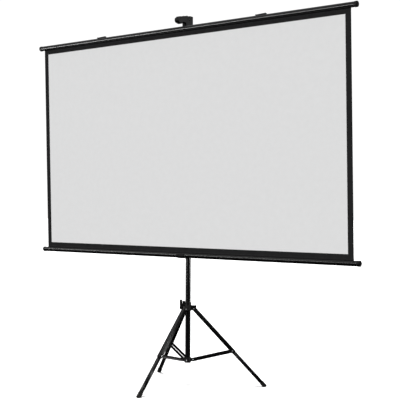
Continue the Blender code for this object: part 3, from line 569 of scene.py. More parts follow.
def makeKnob(node, height, azimuth):
    face, reach, start, tip = (knob[key] for key in ("length", "wingReach", "wingStart", "wingTip"))
    dished = face - knob["dish"]
    hub = lathed(f"{node}_fine", [
        (0, 0), (knob["hub"], 0, 0.0006), (knob["hub"] - 0.0008, face - 0.001, 0.0016),
        (0.0045, face, 0.001), (0.0035, dished, 0.0006), (0, dished)], 0.001, 64)
    wing = rounded([(0, start), (reach, start, 0.003), (reach, face, 0.004), (0.014, face, 0.006),
                    (0, face - 0.002)], 0.003, steps=8)
    inner = reach - tip - 0.0035
    pad = rounded([(inner, face), (reach, face), (reach, start), (inner, start)], 0.003)
    for side in (1, -1):
        for outline, half in ((wing, knob["bladeHalf"]), (pad, tip)):
            joined(hub, slab("wing", [(side * y, z) for y, z in outline], -half, half))
    here = mastPlace @ facing(height, azimuth) @ at((0, 0, lock["bossReach"] + gap))
    standsFor(moulded(hub, 0.00042, 5), node, here)


for node, (height, azimuth) in knob["places"].items():
    makeKnob(node, height, azimuth)
print("knobs made")

# Leg collar and brace hub

collarSize = {
    "radius": 0.021,
    "below": 0.0125,
    "above": 0.023,
    "neck": 0.0195,
    "neckLength": 0.017,
    "lugWidth": 0.018,
    "lugRadius": 0.0085,
    "bore": 0.016,
    "fork": (0.0112, 0.0142),  # inner and outer faces of the cheeks on either side of a leg
    "forkReach": 0.0495,
    "forkRoot": 0.0115,
    "forkHeight": (-0.009, 0.020),  # from the pivot
    "clamp": (0.016, 0.042, 0.0179),  # the block for the knob's screw: width, height, start
}


def spokeLugs(out, up, radius, half):
    return [moved(slab("lug", strip((-collarSize["bore"], up), (-out, up), radius), -half, half),
                  turned(azimuth, "Z")) for azimuth in stand["spokes"].values()]


def makeLegCollar():
    out, up = stand["legPivot"]
    radius, neck = collarSize["radius"], collarSize["neck"]
    low, shoulder = up - collarSize["below"], up + collarSize["above"]
    top = shoulder + collarSize["neckLength"]
    collar = lathed("leg_collar_fine", [
        (0, low), (radius - 0.0015, low), (radius, low + 0.003), (radius, shoulder - 0.002),
        (neck, shoulder + 0.001, 0.0005), (neck, top - 0.003), (neck - 0.001, top), (0, top)], 0.0012)
    near, far = collarSize["fork"]
    end, root = -collarSize["forkReach"], -collarSize["forkRoot"]
    bottom, rise = (up + height for height in collarSize["forkHeight"])
    cheek = rounded([(end, bottom, 0.004), (root, bottom), (root, rise), (end, rise, 0.003)], 0)
    cheeks = [moved(slab("cheek", cheek, *sides), turned(azimuth, "Z"))
              for azimuth in stand["spokes"].values() for sides in ((near, far), (-far, -near))]
    width, tall, start = collarSize["clamp"]
    here = facing(*knob["places"]["collar_knob"])
    clamp = block("clamp", (-width / 2, width / 2), (-tall / 2, tall / 2), (start, lock["bossReach"]),
                  0.003)
    joined(collar, *spokeLugs(out, up, collarSize["lugRadius"], collarSize["lugWidth"] / 2), *cheeks,
           moved(clamp, here))
    without(collar, rod("bore", collarSize["bore"] + gap, low - past, top + past, fineSteps),
            screwHole(here), *spokeHoles(out, up))
    standsFor(moulded(collar, 0.0006, 4), "leg_collar")


makeLegCollar()

hubSize = {"radius": 0.020, "low": 0.134, "length": 0.032, "floor": 0.003,
           "lugRadius": 0.0085, "lugHalf": 0.0109}


def makeBraceHub():
    radius, low, high = hubSize["radius"], hubSize["low"], hubSize["low"] + hubSize["length"]
    hub = lathed("brace_hub_fine", [
        (0, low + 0.001), (0.009, low + 0.001, 0.0005), (0.010, low, 0.0005), (radius - 0.002, low),
        (radius, low + 0.003), (radius, high - 0.004), (radius - 0.002, high), (0, high)], 0.0015)
    joined(hub, *spokeLugs(*stand["hubPivot"], hubSize["lugRadius"], hubSize["lugHalf"]))
    without(hub, rod("socket", collarSize["bore"] + gap, low + hubSize["floor"], high + past, fineSteps),
            *spokeHoles(*stand["hubPivot"]))
    standsFor(moulded(hub, 0.0006, 4), "brace_hub")


makeBraceHub()
print("collar and hub made")

# Legs and braces

legOut, legUp = stand["legPivot"]
hubOut, hubUp = stand["hubPivot"]
spanOut = legOut + stand["braceJoint"] * sin(stand["legAngle"]) - hubOut
spanUp = legUp - stand["braceJoint"] * cos(stand["legAngle"]) - hubUp
leg = {
    "channelDepth": 0.023,
    "channelWall": 0.0015,
    "channelHalf": 0.0108,
    "above": 0.012,
    "below": 0.012,
    "bend": 0.0026,
    "tube": (0.018, 0.0205, 0.0035, 0.0015),  # width, depth, corner, wall
    "overlap": 0.045,
    "bootLength": 0.034,
    "bootWall": 0.0012,
    "bootSole": 0.010,
    "bootLip": (0.003, 0.0005),  # height, how much wider
    "bootRibs": (4, 0.0145, 0.0045, 0.0022, 0.0006),  # how many, first foot, pitch, height, extra width
    "length": (legUp - 0.001) / cos(stand["legAngle"]),
}
tubeShift = leg["tube"][1] / 2 - leg["channelDepth"] / 2 + leg["channelWall"] + gap
brace = {
    "rise": atan2(spanUp, spanOut),
    "length": hypot(spanOut, spanUp),
    "depth": 0.019,
    "thickness": 0.002,
    "inside": 0.0112,
}


def makeChannel(place, node):
    half, wall, bend, lip = leg["channelHalf"], leg["channelWall"], leg["bend"], 0.0004
    outside, inside = -leg["channelDepth"] / 2, leg["channelDepth"] / 2
    floor, within = outside + wall, half - wall
    outline = rounded([(-half, outside, bend), (half, outside, bend), (half, inside), (within, inside),
                       (within, floor, bend - wall), (-within, floor, bend - wall),
                       (-within, inside), (-half, inside)], lip, steps=6)
    channel = slab(f"{node}_fine", outline, -stand["braceJoint"] - leg["below"], leg["above"], "Z")
    withEdges(channel, 0.00025, 2)
    standsFor(channel, node, place, barPaint)


def makeLegTube(place, node):
    width, depth, corner, wall = leg["tube"]
    ends = leg["bootSole"] + gap - leg["length"], leg["overlap"] - stand["braceJoint"]
    shape = bmesh.new()
    outline = roundedRectangle(width, depth, corner)
    low, high = ([shape.verts.new((x, y, z)) for x, y in outline] for z in ends)
    for i in range(len(low)):
        shape.faces.new((low[i - 1], low[i], high[i], high[i - 1]))
    tube = modified(asObject(f"{node}_fine", shape), "SOLIDIFY", thickness=wall, offset=-1)
    standsFor(settled(tube), node, place @ at((0, tubeShift, 0)), barPaint)


def makeBoot(place, node):
    width, depth, corner, _ = leg["tube"]
    wall = 2 * (leg["bootWall"] + gap)
    foot, top = -leg["length"], -leg["length"] + leg["bootLength"]
    lipHigh, lipWider = leg["bootLip"]
    count, first, pitch, ribHigh, ribWider = leg["bootRibs"]

    def grown(name, extra, low, high, lip=0.0):  # the tube's outline with more all round
        outline = roundedRectangle(width + extra + lip, depth + extra + lip, corner + extra / 2)
        return slab(name, outline, low, high, "Z")

    boot = grown(f"{node}_fine", wall, foot, top)
    ribs = repeated("ribs", lineRepeat, grown("rib", wall + ribWider, 0, ribHigh), Count=count,
                    Finish=rubber, Start=(0, 0, foot + first), Step=(0, 0, pitch))
    joined(boot, ribs, grown("collar", wall, top - lipHigh, top, lipWider))
    drop, side = legUp / cos(stand["legAngle"]), 0.04
    lean = side * tan(stand["legAngle"])
    below = [(-side, -drop - lean), (side, -drop + lean), (side, -2 * drop), (-side, -2 * drop)]
    without(boot, grown("bore", 2 * gap, foot + leg["bootSole"], top + past),
            moved(slab("floor cut", below, -side, side), at((0, -tubeShift, 0))))
    standsFor(moulded(boot, 0.00045), node, place @ at((0, tubeShift, 0)), rubber)


def dome(start, high, steps=8):  # a round head, from its rim to its top
    angles = [i * pi / 2 / steps for i in range(steps)]
    return [(pin["head"] * cos(a), start + high * sin(a)) for a in angles] + [(0, start + high)]


def makeRivet(place, node, halfSpan, finish=steel):  # round heads on both ends
    rim = 0.0004
    end = [(pin["radius"], halfSpan), (pin["head"], halfSpan)] + dome(halfSpan + rim, pin["high"] - rim)
    rivet = spun(f"{node}_fine", [(r, -z) for r, z in reversed(end)] + end, 32)
    standsFor(moved(rivet, turned(pi / 2, "Y")), node, place, finish)


def makeBraceBar(place, node, side):
    outside = brace["inside"] + brace["thickness"]
    bar = slab(f"{node}_fine", strip((0, 0), (0, brace["length"]), brace["depth"] / 2, 24),
               *sorted((side * brace["inside"], side * outside)))
    withEdges(bar, 0.0004, 3)
    sunk = outside - 0.0005
    head = spun("head", [(0, sunk), (pin["head"], sunk)] + dome(outside, pin["high"]), 32)
    moved(head, at((0, 0, brace["length"])) @ turned(side * pi / 2, "Y"))
    for face in head.data.polygons:
        face.material_index = 1
    joined(painted(bar, barPaint, steel), painted(head, barPaint, steel))
    standsFor(bar, node, place, None)


for name, azimuth in stand["spokes"].items():
    spokePlace = mastPlace @ turned(azimuth, "Z")
    legAxis = spokePlace @ at((0, -legOut, legUp))
    hubAxis = spokePlace @ at((0, -hubOut, hubUp))
    legPlace = legAxis @ turned(-stand["legAngle"], "X")
    bracePlace = hubAxis @ turned(pi / 2 - brace["rise"], "X")
    makeChannel(legPlace, f"{name}_leg_channel")
    makeLegTube(legPlace, f"{name}_leg_tube")
    makeBoot(legPlace, f"{name}_boot")
    makeRivet(legAxis, f"{name}_leg_pin", collarSize["fork"][1] + gap)
    makeRivet(hubAxis, f"{name}_hub_pin", brace["inside"] + brace["thickness"] + gap)
    makeBraceBar(bracePlace, f"{name}_brace_bar_a", 1)
    makeBraceBar(bracePlace, f"{name}_brace_bar_b", -1)
print("legs made")

# Bars

screen = {
    "bottomHeight": 0.778,
    "bottomReach": 0.0618,
    "topReach": 0.1032,
    "rise": 0.030 + 0.032 + 1.245 + 0.0285,
    "barRadius": 0.015,
    "barWall": 0.0015,
    "slot": 0.004,
    "barHalf": 1.164,
    "capLength": 0.016,
    "capRim": 0.00125,
}
screen["lean"] = asin((screen["topReach"] - screen["bottomReach"]) / screen["rise"])
screenPlace = mastPlace @ at((0, -screen["bottomReach"], screen["bottomHeight"])) \
    @ turned(screen["lean"], "X")


def makeBar(node, height, slotSide):
    outer, inner = screen["barRadius"], screen["barRadius"] - screen["barWall"]
    start, end = slotSide * pi / 2, (slotSide / 2 + 2) * pi
    outerHalf, innerHalf = (asin(screen["slot"] / 2 / radius) for radius in (outer, inner))
    outline = arc((0, 0), outer, start + outerHalf, end - outerHalf, fineSteps)
    outline += arc((0, 0), inner, end - innerHalf, start + innerHalf, 72)
    bar = slab(f"{node}_fine", outline, -screen["barHalf"], screen["barHalf"])
    standsFor(bar, node, screenPlace @ at((0, 0, height)), barPaint)


def makeCap(node, height, side):
    radius, length = screen["barRadius"], screen["capLength"]
    inner, brim, face = radius - screen["barWall"] - gap, radius + screen["capRim"], length - 0.0012
    cap = lathed(f"{node}_fine", [
        (0, -0.013), (inner, -0.013, 0.0008), (inner, gap, 0), (brim, gap, 0.0006),
        (brim, length, 0.0042), (0.0085, length, 0.0012), (0.0075, face, 0.0008), (0, face)],
        0.0005, cornerSteps=8)
    end = screenPlace @ at((side * screen["barHalf"], 0, height))
    standsFor(cap, node, end @ turned(side * pi / 2, "Y"))


for node, height, slotSide in (("bottom_bar", 0.0, 1), ("top_bar", screen["rise"], -1)):
    makeBar(node, height, slotSide)
    makeCap(f"{node}_cap_left", height, -1)
    makeCap(f"{node}_cap_right", height, 1)
print("bars made")

# Sheet

sheetSize = {
    "half": 1.141,
    "viewHalf": 1.107,
    "hem": 0.0084,  # from a bar's axis to its hem rod
    "viewLow": 0.047,
    "viewHigh": 1.292,
    "thickness": 0.0008,
    "rod": 0.0043,
    "sleeveWall": 0.0007,
    "ripple": (0.0004, 1.7, 2.3),  # depth, waves per metre across and up
    "columns": 60,
    "rows": 34,
}


def evenly(start, stop, count):
    return [start + (stop - start) * i / count for i in range(count + 1)]


def rim(grid):  # once round the edge
    return grid[0] + [row[-1] for row in grid[1:-1]] + grid[-1][::-1] + [row[0] for row in grid[-2:0:-1]]


def makeSheet():
    half, view, thick = sheetSize["half"], sheetSize["viewHalf"], sheetSize["thickness"] / 2
    low, high = sheetSize["hem"], screen["rise"] - sheetSize["hem"]
    bottom, top = sheetSize["viewLow"], sheetSize["viewHigh"]
    across = [-half] + evenly(-view, view, sheetSize["columns"]) + [half]
    up = evenly(low, bottom, 3) + evenly(bottom, top, sheetSize["rows"])[1:] + evenly(top, high, 3)[1:]
    depth, wide, tall = sheetSize["ripple"]
    shape = bmesh.new()

    def point(x, s, side):
        slack = sin(pi * (s - low) / (high - low))
        swell = noise.noise(Vector((x * wide, 3.1, s * tall))) * depth * slack
        return shape.verts.new((x, swell + side * thick, s))

    front, back = ([[point(x, s, side) for x in across] for s in up] for side in (-1, 1))
    for r in range(1, len(up)):
        for k in range(1, len(across)):
            face = shape.faces.new((front[r - 1][k - 1], front[r - 1][k], front[r][k], front[r][k - 1]))
            middle, level = (across[k - 1] + across[k]) / 2, (up[r - 1] + up[r]) / 2
            face.material_index = 0 if abs(middle) < view and bottom < level < top else 1
            face = shape.faces.new((back[r][k - 1], back[r][k], back[r - 1][k], back[r - 1][k - 1]))
            face.material_index = 2
    edge = list(zip(rim(front), rim(back)))
    for (a, b), (c, d) in zip(edge, edge[1:] + edge[:1]):
        shape.faces.new((a, b, d, c)).material_index = 1
    bmesh.ops.recalc_face_normals(shape, faces=shape.faces)
    made = painted(asObject("screen_sheet", shape), whiteCloth, borderCloth, backCloth)
    return moved(made, screenPlace)


sheetPiece = makeSheet()
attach(sheetPiece, "middle_mast")
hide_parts("screen_fabric")

seam = {
    "rows": (0.0205, 0.0235),  # from the bar's axis
    "margin": 0.006,
    "pitch": 0.004,
    "length": 0.0026,
    "thread": 0.00035,
    "strip": 0.027,
    "fold": 0.0006,
}


def makeHemStrip(name, rodHeight, away):  # the turned-back cloth of a hem, behind the sheet
    half, y, radius = sheetSize["half"], sheetSize["thickness"] / 2, sheetSize["rod"]
    low, high = sorted((rodHeight, rodHeight + away * (seam["strip"] - sheetSize["hem"])))
    near, far = y - 0.0001, y + seam["fold"]
    fold = slab(name, rounded([(near, low), (far, low), (far, high), (near, high)], 0.0002), -half, half)
    tube = slab("sleeve", circle((0, rodHeight), radius + sheetSize["sleeveWall"], 32), -half, half)
    without(tube, slab("sleeve bore", circle((0, rodHeight), radius, 32), -half - past, half + past))
    return moved(painted(joined(fold, tube), backCloth), screenPlace)


def makeStitches(name, barHeight, away):
    rows = []
    start, pitch = seam["margin"] - sheetSize["half"], seam["pitch"]
    count = int(2 * (sheetSize["half"] - pitch) / pitch)
    for row in seam["rows"]:
        for side in (-1, 1):
            stitch = rod("stitch", seam["thread"], -seam["length"] / 2, seam["length"] / 2, 6)
            moved(stitch, turned(pi / 2, "Y"))
            lift = sheetSize["thickness"] / 2 + (seam["fold"] if side > 0 else 0.0)
            rows.append(repeated("row", lineRepeat, stitch, Count=count, Finish=threadFinish, Jitter=0.05,
                                 Start=(start, side * lift, barHeight + away * row),
                                 Step=(pitch, 0, 0)))
    stitches = joined(*rows)
    stitches.name = name
    return moved(stitches, screenPlace)


for end, barHeight, away in (("bottom", 0.0, 1), ("top", screen["rise"], -1)):
    hem = makeHemStrip(f"{end}_hem_fold", barHeight + away * sheetSize["hem"], away)
    sewing = makeStitches(f"{end}_hem_stitches", barHeight, away)
    for piece in (hem, sewing):
        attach(piece, "middle_mast")
        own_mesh(piece)
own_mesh(sheetPiece)
print("sheet made")

# Bottom clip

clip = {
    "foot": 0.8303,
    "ring": (0.0180, 0.030),  # radius, length
    "wall": 0.0027,
    "width": 0.052,
    "strap": 0.024,
    "arm": 0.012,
    "rib": 0.0028,
    "hook": (radians(30), radians(-215)),  # from its back to its lip
    "bore": 0.0133,
    "screwHole": 0.0023,
    "screw": (0.0133, 0.0183, 0.0218),  # start, seat and end, out from the mast's axis
    "shank": 0.002,
    "screwHead": 0.004,
    "cross": (0.0022, 0.0004, 0.0014),  # half length, half width, depth
}


def makeBottomClip():
    radius, length = clip["ring"]
    foot, top = clip["foot"], clip["foot"] + length
    y, z = axis = (-screen["bottomReach"], screen["bottomHeight"])
    inner = screen["barRadius"] + gap
    outer = inner + clip["wall"]
    low = foot + (length - clip["arm"]) / 2
    high = low + clip["arm"]
    half, wide, rib = (clip[key] / 2 for key in ("strap", "width", "rib"))
    piece = lathed("bottom_clip_fine", [(0, foot), (radius, foot), (radius, top), (0, top)], 0.0015)
    back, lip = clip["hook"]
    hook = arc(axis, outer, back, lip, 72) + arc(axis, inner, lip, back, 72)
    gusset = rounded([(y + inner + 0.001, low + 0.002), (y + inner + 0.001, z + 0.008),
                      (y + outer + 0.004, z + 0.014), (-0.022, low + 0.002)], 0.003)
    arm = [(y + inner, z), (y + outer, z), (y + outer, low), (0, low), (0, high), (y + inner, high)]
    joined(piece, slab("arm", arm, -half, half), slab("hook", hook, -wide, wide),
           slab("gusset", gusset, -rib, rib))
    hole = rod("screw hole", clip["screwHole"], 0, lock["screwRun"])
    without(piece, rod("bore", clip["bore"], foot - past, top + past, fineSteps),
            moved(hole, facing(foot + length / 2, pi)))
    standsFor(moulded(piece, 0.00055), "bottom_clip")


def makeClipScrew():  # a pan head with a cross recess
    start, seat, end = clip["screw"]
    shank, pan = clip["shank"], clip["screwHead"]
    screw = lathed("clip_screw_fine", [
        (0, start), (shank, start), (shank, seat), (pan, seat, 0.0003), (pan, end - 0.001, 0.001),
        (0.0025, end, 0.0008), (0, end)], 0.0002, 48)
    reach, narrow, depth = clip["cross"]
    without(screw, *(block("cross", (-x, x), (-y, y), (end - depth, end + 0.001))
                     for x, y in ((reach, narrow), (narrow, reach))))
    standsFor(screw, "clip_screw", mastPlace @ facing(clip["foot"] + clip["ring"][1] / 2, pi), steel)


makeBottomClip()
makeClipScrew()
print("bottom clip made")

# Mast head, hook arm and bar hanger

topBar = (-screen["topReach"], screen["bottomHeight"] + screen["rise"] * cos(screen["lean"]))
head = {
    "half": 0.015,
    "top": topBar[1] + 0.0924,
    "foot": topBar[1] - screen["barRadius"] - 0.008,
    "back": 0.018,
    "front": 0.014,
    "stem": 0.047,
    "stemDrop": 0.030,
    "lug": 0.010,
    "pivot": (-0.027, 0.017),  # out from the mast, down from the top
    "tongue": (0.006, 0.0054, 0.008, 0.018),  # half width, thickness, base height, rise
    "tongueSetback": 0.0285,
    "bore": 0.0113,
    "tubeEnd": 0.030,
    "pocket": 0.0012,
}
hook = {
    "cheek": 0.0047,
    "reach": 0.1215,
    "rear": 0.0127,
    "nose": 0.0165,
    "noseDrop": 0.020,
    "tooth": (0.059, 0.006, 0.0395),  # out from the pivot, length, down from the pivot
    "throat": 0.028,
    "pocket": 0.001,
    "ridges": (3, 0.1, 0.41),  # how many, the first one's share of the top, their spacing
    "ridgeHigh": 0.0045,
    "ridgeFoot": 0.068,
    "ridgeCrest": 0.042,
}
headPivot = (head["pivot"][0], head["top"] - head["pivot"][1])


def pinEye(y, z):
    reach = 2 * head["half"]
    return moved(rod("pin hole", pin["hole"], -reach, reach), at((0, y, z)) @ turned(pi / 2, "Y"))


def pockets(outline, floor, outside):  # a shallow one in each side
    return [slab("pocket", outline, side * floor, side * outside) for side in (-1, 1)]


def makeMastHead():
    half, top, foot, front, back = (head[key] for key in ("half", "top", "foot", "front", "back"))
    stem, stemTop = head["stem"], top - head["stemDrop"]
    y, z = headPivot
    piece = slab("mast_head_fine", rounded([(-front, foot), (back, foot, 0.003), (back, top, 0.0035),
                                            (-front, top, 0.002)], 0.001), -half, half)
    lugRound, lugHalf, lugFoot = head["lug"], half - hook["cheek"] - gap, stemTop - 0.004
    lug = arc(headPivot, lugRound, 0, pi, 24) + [(y - lugRound, lugFoot), (y + lugRound, lugFoot)]
    width, thick, base, rise = head["tongue"]
    near = topBar[0] + head["tongueSetback"] - thick / 2
    tip = foot + base + rise
    joined(piece,
           slab("stem", rounded([(-stem, foot, 0.004), (0, foot), (0, stemTop), (-stem, stemTop)], 0.001),
                -half, half),
           slab("lug", lug, -lugHalf, lugHalf),
           block("tongue base", (-width, width), (near, -front), (foot, foot + base)),
           slab("tongue", rounded([(near, foot), (near + thick, foot), (near + thick, tip, 0.002),
                                   (near, tip, 0.002)], 0.0005), -width, width))
    pocket = rounded([(-0.039, foot + 0.010), (0.012, foot + 0.010), (0.012, top - 0.012),
                      (-0.007, top - 0.012), (-0.009, stemTop - 0.008), (-0.039, stemTop - 0.008)], 0.003)
    without(piece, rod("bore", head["bore"], foot - past, top - head["tubeEnd"], fineSteps),
            pinEye(y, z), *pockets(pocket, half - head["pocket"], half + past))
    standsFor(moulded(piece, 0.0006, 4), "mast_head")


def makeHookArm():  # drawn about its pivot, with +y towards the mast
    half, rear, noseRadius, throat = head["half"], hook["rear"], hook["nose"], hook["throat"]
    nose = Vector((noseRadius - head["pivot"][0] - hook["reach"], -hook["noseDrop"]))
    slope = atan2(-nose.y, -nose.x) + asin((rear - noseRadius) / nose.length)
    topLength = (nose.length ** 2 - (rear - noseRadius) ** 2) ** 0.5
    along, up = Vector((-cos(slope), -sin(slope))), Vector((-sin(slope), cos(slope)))
    place, length, drop = hook["tooth"]
    stemFront = -head["pivot"][0] - head["stem"] - gap
    outline = arc((0, 0), rear, -pi / 2, pi / 2 + slope, 32)
    outline += arc(nose, noseRadius, pi / 2 + slope, 3 * pi / 2 - radians(20), 24)
    outline += rounded([outline[-1], (-place - length / 2, -drop), (-place + length / 2, -drop),
                        (-place + length, -throat), (stemFront, -throat), (stemFront, -rear),
                        outline[0]], 0.0015, closed=False)[1:-1]
    arm = slab("hook_arm_fine", outline, -half, half)
    foot, crest, high = hook["ridgeFoot"] * topLength, hook["ridgeCrest"] * topLength, hook["ridgeHigh"]
    count, first, spacing = hook["ridges"]
    ridge = slab("ridge", rounded([(-foot, -0.004), (-foot, 0), (-crest, high), (crest, high), (foot, 0),
                                   (foot, -0.004)], 0.0012), -half, half)
    joined(arm, repeated("ridges", lineRepeat, moved(ridge, turned(slope, "X")), Count=count,
                         Finish=plastic, Start=(0, *(up * rear + along * first * topLength)),
                         Step=(0, *(along * spacing * topLength))))
    far, hood, slotHalf = 2 * hook["reach"], head["lug"] + gap, half - hook["cheek"]
    slot = arc((0, 0), hood, pi / 2, pi, 16) + [(-hood, -far), (far, -far), (far, far), (0, far)]
    pocket = rounded([(nose.x - 0.006, nose.y + 0.009), (nose.x - 0.002, nose.y - 0.009),
                      (-0.030, -0.021), (-0.024, -0.004), (-0.012, 0.004)], 0.003)
    without(arm, slab("slot", slot, -slotHalf, slotHalf), pinEye(0, 0),
            *pockets(pocket, half - hook["pocket"], half + past))
    standsFor(moulded(arm, 0.0006), "hook_arm", mastPlace @ at((0, *headPivot)))


hanger = {"half": 0.012, "depth": 0.022, "height": 0.026}


def makeBarHanger():
    low = head["foot"] + head["tongue"][2] + gap
    near, far = topBar[0] + screen["barRadius"] / 2, topBar[0] + screen["barRadius"] + hanger["depth"]
    high = low + hanger["height"]
    side = rounded([(near, low), (far, low, 0.002), (far, high, 0.004), (near, high)], 0.0005)
    piece = slab("bar_hanger_fine", side, -hanger["half"], hanger["half"])
    width, thick = head["tongue"][0] + gap, head["tongue"][1] / 2 + gap
    middle = topBar[0] + head["tongueSetback"]
    reach = hanger["half"] + past
    without(piece, slab("seat", circle(topBar, screen["barRadius"] + gap, fineSteps), -reach, reach),
            block("slot", (-width, width), (middle - thick, middle + thick), (low - past, high + past)))
    standsFor(moulded(piece, 0.0005, keep=0.35), "bar_hanger")


makeMastHead()
makeHookArm()
makeBarHanger()
makeRivet(mastPlace @ at((0, *headPivot)), "hook_pin", head["half"] + gap, blackSteel)
print("head made")

# Folding hangers on the top bar

folder = {
    "places": {"left": -0.620, "right": 0.586},
    "length": 0.072,
    "width": 0.014,
    "base": 0.002,
    "ear": 0.0027,
    "pin": 0.0012,
    "inset": 0.0065,
    "eye": 0.0027,
    "tip": 0.0026,
    "lip": (0.003, 0.0045),  # length, height
}


def makeFolder(name, place):
    half, side, eye, ear = folder["length"] / 2, folder["width"] / 2, folder["eye"], folder["ear"]
    radius = screen["barRadius"]
    seat, deck = radius / 2, radius + folder["base"]
    pinX, pinZ = half - folder["inset"], deck + 2 * gap + eye
    here = screenPlace @ at((place, 0, screen["rise"]))
    base = slab(f"{name}_hanger_base_fine", roundedRectangle(2 * half, 2 * side, 0.003), seat, deck, "Z")
    earOutline = [(pinX - eye, seat), (pinX + eye, seat)] + arc((pinX, pinZ), eye, 0, pi, 16)
    joined(base, *(slab("ear", earOutline, near, near + ear, "Y") for near in (-side, side - ear)),
           moved(rod("pin", folder["pin"], -side + gap, side - gap, 24),
                 at((pinX, 0, pinZ)) @ turned(pi / 2, "X")))
    without(base, slab("saddle", circle((0, 0), radius + gap, fineSteps), -half - past, half + past))
    standsFor(moulded(base, 0.00035, 2), f"{name}_hanger_base", here)
    inside, tip, floor = side - ear - gap, -half - pinX, -eye
    lipEnd, lipTop = tip + folder["lip"][0], floor + folder["lip"][1]
    outline = arc((0, 0), eye, -pi / 2, pi * 0.6, 16) + [
        (lipEnd, floor + folder["tip"]), (lipEnd, lipTop), (tip, lipTop), (tip, floor)]
    lever = slab(f"{name}_hanger_lever_fine", outline, -inside, inside, "Y")
    without(lever, moved(rod("eye", folder["pin"] + gap, -2 * side, 2 * side), turned(pi / 2, "X")))
    standsFor(moulded(lever, 0.00035), f"{name}_hanger_lever", here @ at((pinX, 0, pinZ)))


for name, place in folder["places"].items():
    makeFolder(name, place)
print("hangers made")

# The nodes that keep their CAD shape

for node, item in frame["nodes"].items():
    if not item.hide_render:
        for place in item.material_slots:
            place.material = finishOfSlot[slotOfNode[node]]

# Floor, light and camera

studio = {
    "floor": (0.93, 0.93, 0.93),
    "floorPlace": (60, -0.02, -0.0001),  # radius, underside, top
    "backdrop": 1.06,
    "sky": [(0.0, 0.02), (0.45, 0.05), (0.56, 0.12), (0.7, 0.45), (1.0, 0.9)],  # height, strength
    "suns": {  # azimuth round from the front, elevation, strength, softness
        "sheet": (20, 22, 2.25, 12),
        "floor": (0, 90, 4.2, 28),
        "left": (-24, 6, 0.85, 16),
        "right": (113, 8, 1.25, 14),
    },
    "softboxes": {  # long and low on the left, for the line along each bar: height, power
        "top_bar": (1.1, 280),
        "bottom_bar": (2.3, 125),
    },
    "softboxPlace": (-3.6, -4.15),
    "softboxSize": (5.5, 0.3),
    "softboxAim": 1.4,
    "glow": (142, -20, 3.2, 13, 6),  # behind on the right: azimuth, elevation, strength, edge, core
}


def towards(azimuth, elevation):
    a, e = radians(azimuth), radians(elevation)
    return Vector((sin(a) * cos(e), -cos(a) * cos(e), sin(e)))


def makeLamp(name, kind, aim, lit, place=(0, 0, 0), **settings):  # it lights only the pieces in lit
    lamp = placed(name, tuned(bpy.data.lights.new(name, kind), settings))
    tuned(lamp, {"location": place, "rotation_euler": aim.to_track_quat("-Z", "Y").to_euler(),
                 "visible_camera": False})
    receivers = bpy.data.collections.new(name)
    for piece in lit:
        receivers.objects.link(piece)
    lamp.light_linking.receiver_collection = receivers


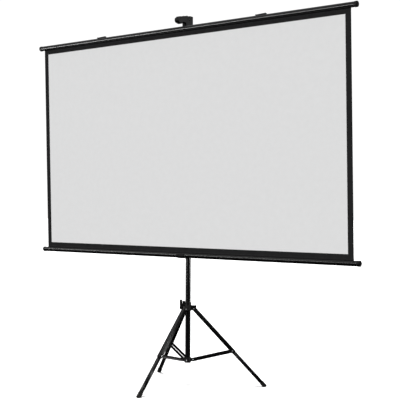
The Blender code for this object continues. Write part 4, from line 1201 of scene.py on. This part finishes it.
def makeWorld():
    world = bpy.data.worlds.new("studio")
    scene.world = world
    world.use_nodes = True
    tree = world.node_tree
    azimuth, elevation, power, edge, core = studio["glow"]
    node = {
        "soft": tree.nodes["Background"],
        "white": added(tree, "ShaderNodeBackground",
                       {"Color": (1, 1, 1, 1), "Strength": studio["backdrop"]}),
        "where": added(tree, "ShaderNodeTexCoord"),
        "split": added(tree, "ShaderNodeSeparateXYZ"),
        "height": added(tree, "ShaderNodeMapRange", {"From Min": -1.0}),
        "ramp": added(tree, "ShaderNodeValToRGB"),
        "glow": added(tree, "ShaderNodeBackground"),
        "aim": added(tree, "ShaderNodeVectorMath", {1: towards(azimuth, elevation)},
                     operation="DOT_PRODUCT"),
        "fade": added(tree, "ShaderNodeMapRange", {"From Min": cos(radians(edge)),
                                                   "From Max": cos(radians(core)), "To Max": power}),
        "both": added(tree, "ShaderNodeAddShader"),
        "seen": added(tree, "ShaderNodeLightPath"),
        "mix": added(tree, "ShaderNodeMixShader"),
        "out": tree.nodes["World Output"],
    }
    steps = studio["sky"]
    elements = node["ramp"].color_ramp.elements
    for place, strength in steps[1:-1]:
        elements.new(place)
    for element, (place, strength) in zip(elements, steps):
        element.position = place
        element.color = (strength, strength, strength, 1)
    wired(tree, node, [
        ("where", "Generated", "split", 0), ("split", "Z", "height", "Value"),
        ("height", "Result", "ramp", "Fac"), ("ramp", "Color", "soft", "Color"),
        ("where", "Generated", "aim", 0), ("aim", "Value", "fade", "Value"),
        ("fade", "Result", "glow", "Strength"), ("soft", 0, "both", 0), ("glow", 0, "both", 1),
        ("seen", "Is Camera Ray", "mix", "Fac"), ("both", 0, "mix", 1), ("white", 0, "mix", 2),
        ("mix", 0, "out", "Surface")])


def makeStudio():
    radius, low, high = studio["floorPlace"]
    floor = slab("floor", circle((0, 0), radius, fineSteps), low, high, "Z")
    painted(floor, startFinish("pale floor", studio["floor"], 0.9, 0.0)[0])
    tuned(floor, {"visible_glossy": False, "visible_diffuse": False})
    floor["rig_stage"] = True
    makeWorld()
    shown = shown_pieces()
    sheetNames = ("screen_sheet", "bottom_hem_", "top_hem_")
    sheets = [piece for piece in shown if piece.name.startswith(sheetNames)]
    others = [piece for piece in shown if not piece.name.startswith((*sheetNames, *studio["softboxes"]))]
    lit = {"sheet": sheets, "floor": [floor], "left": others, "right": others}
    for name, (azimuth, elevation, strength, softness) in studio["suns"].items():
        makeLamp(f"{name} sun", "SUN", -towards(azimuth, elevation), lit[name],
                 energy=strength, angle=radians(softness))
    middle = mastPlace.translation + Vector((0, 0, studio["softboxAim"]))
    length, breadth = studio["softboxSize"]
    for bar, (height, power) in studio["softboxes"].items():
        place = Vector((*studio["softboxPlace"], height))
        makeLamp(f"softbox for the {bar}", "AREA", middle - place,
                 [piece for piece in shown if piece.name.startswith(bar)], place,
                 shape="RECTANGLE", size=length, size_y=breadth, energy=power)
    scene.view_settings.view_transform = "Standard"


viewpoint = {
    "place": (3.40714, -4.22596, 1.08335),
    "yaw": 0.65365,
    "pitch": 0.00422,
    "roll": 0.00433,
    "lens": 82.84,
    "sensor": 36,
}


def makeCamera():
    data = bpy.data.cameras.new("camera")
    data.lens, data.sensor_width = viewpoint["lens"], viewpoint["sensor"]
    scene.camera = placed("camera", data)
    scene.camera.matrix_world = at(viewpoint["place"]) @ turned(viewpoint["yaw"], "Z") \
        @ turned(pi / 2 + viewpoint["pitch"], "X") @ turned(viewpoint["roll"], "Z")


makeStudio()
makeCamera()
print("studio made")
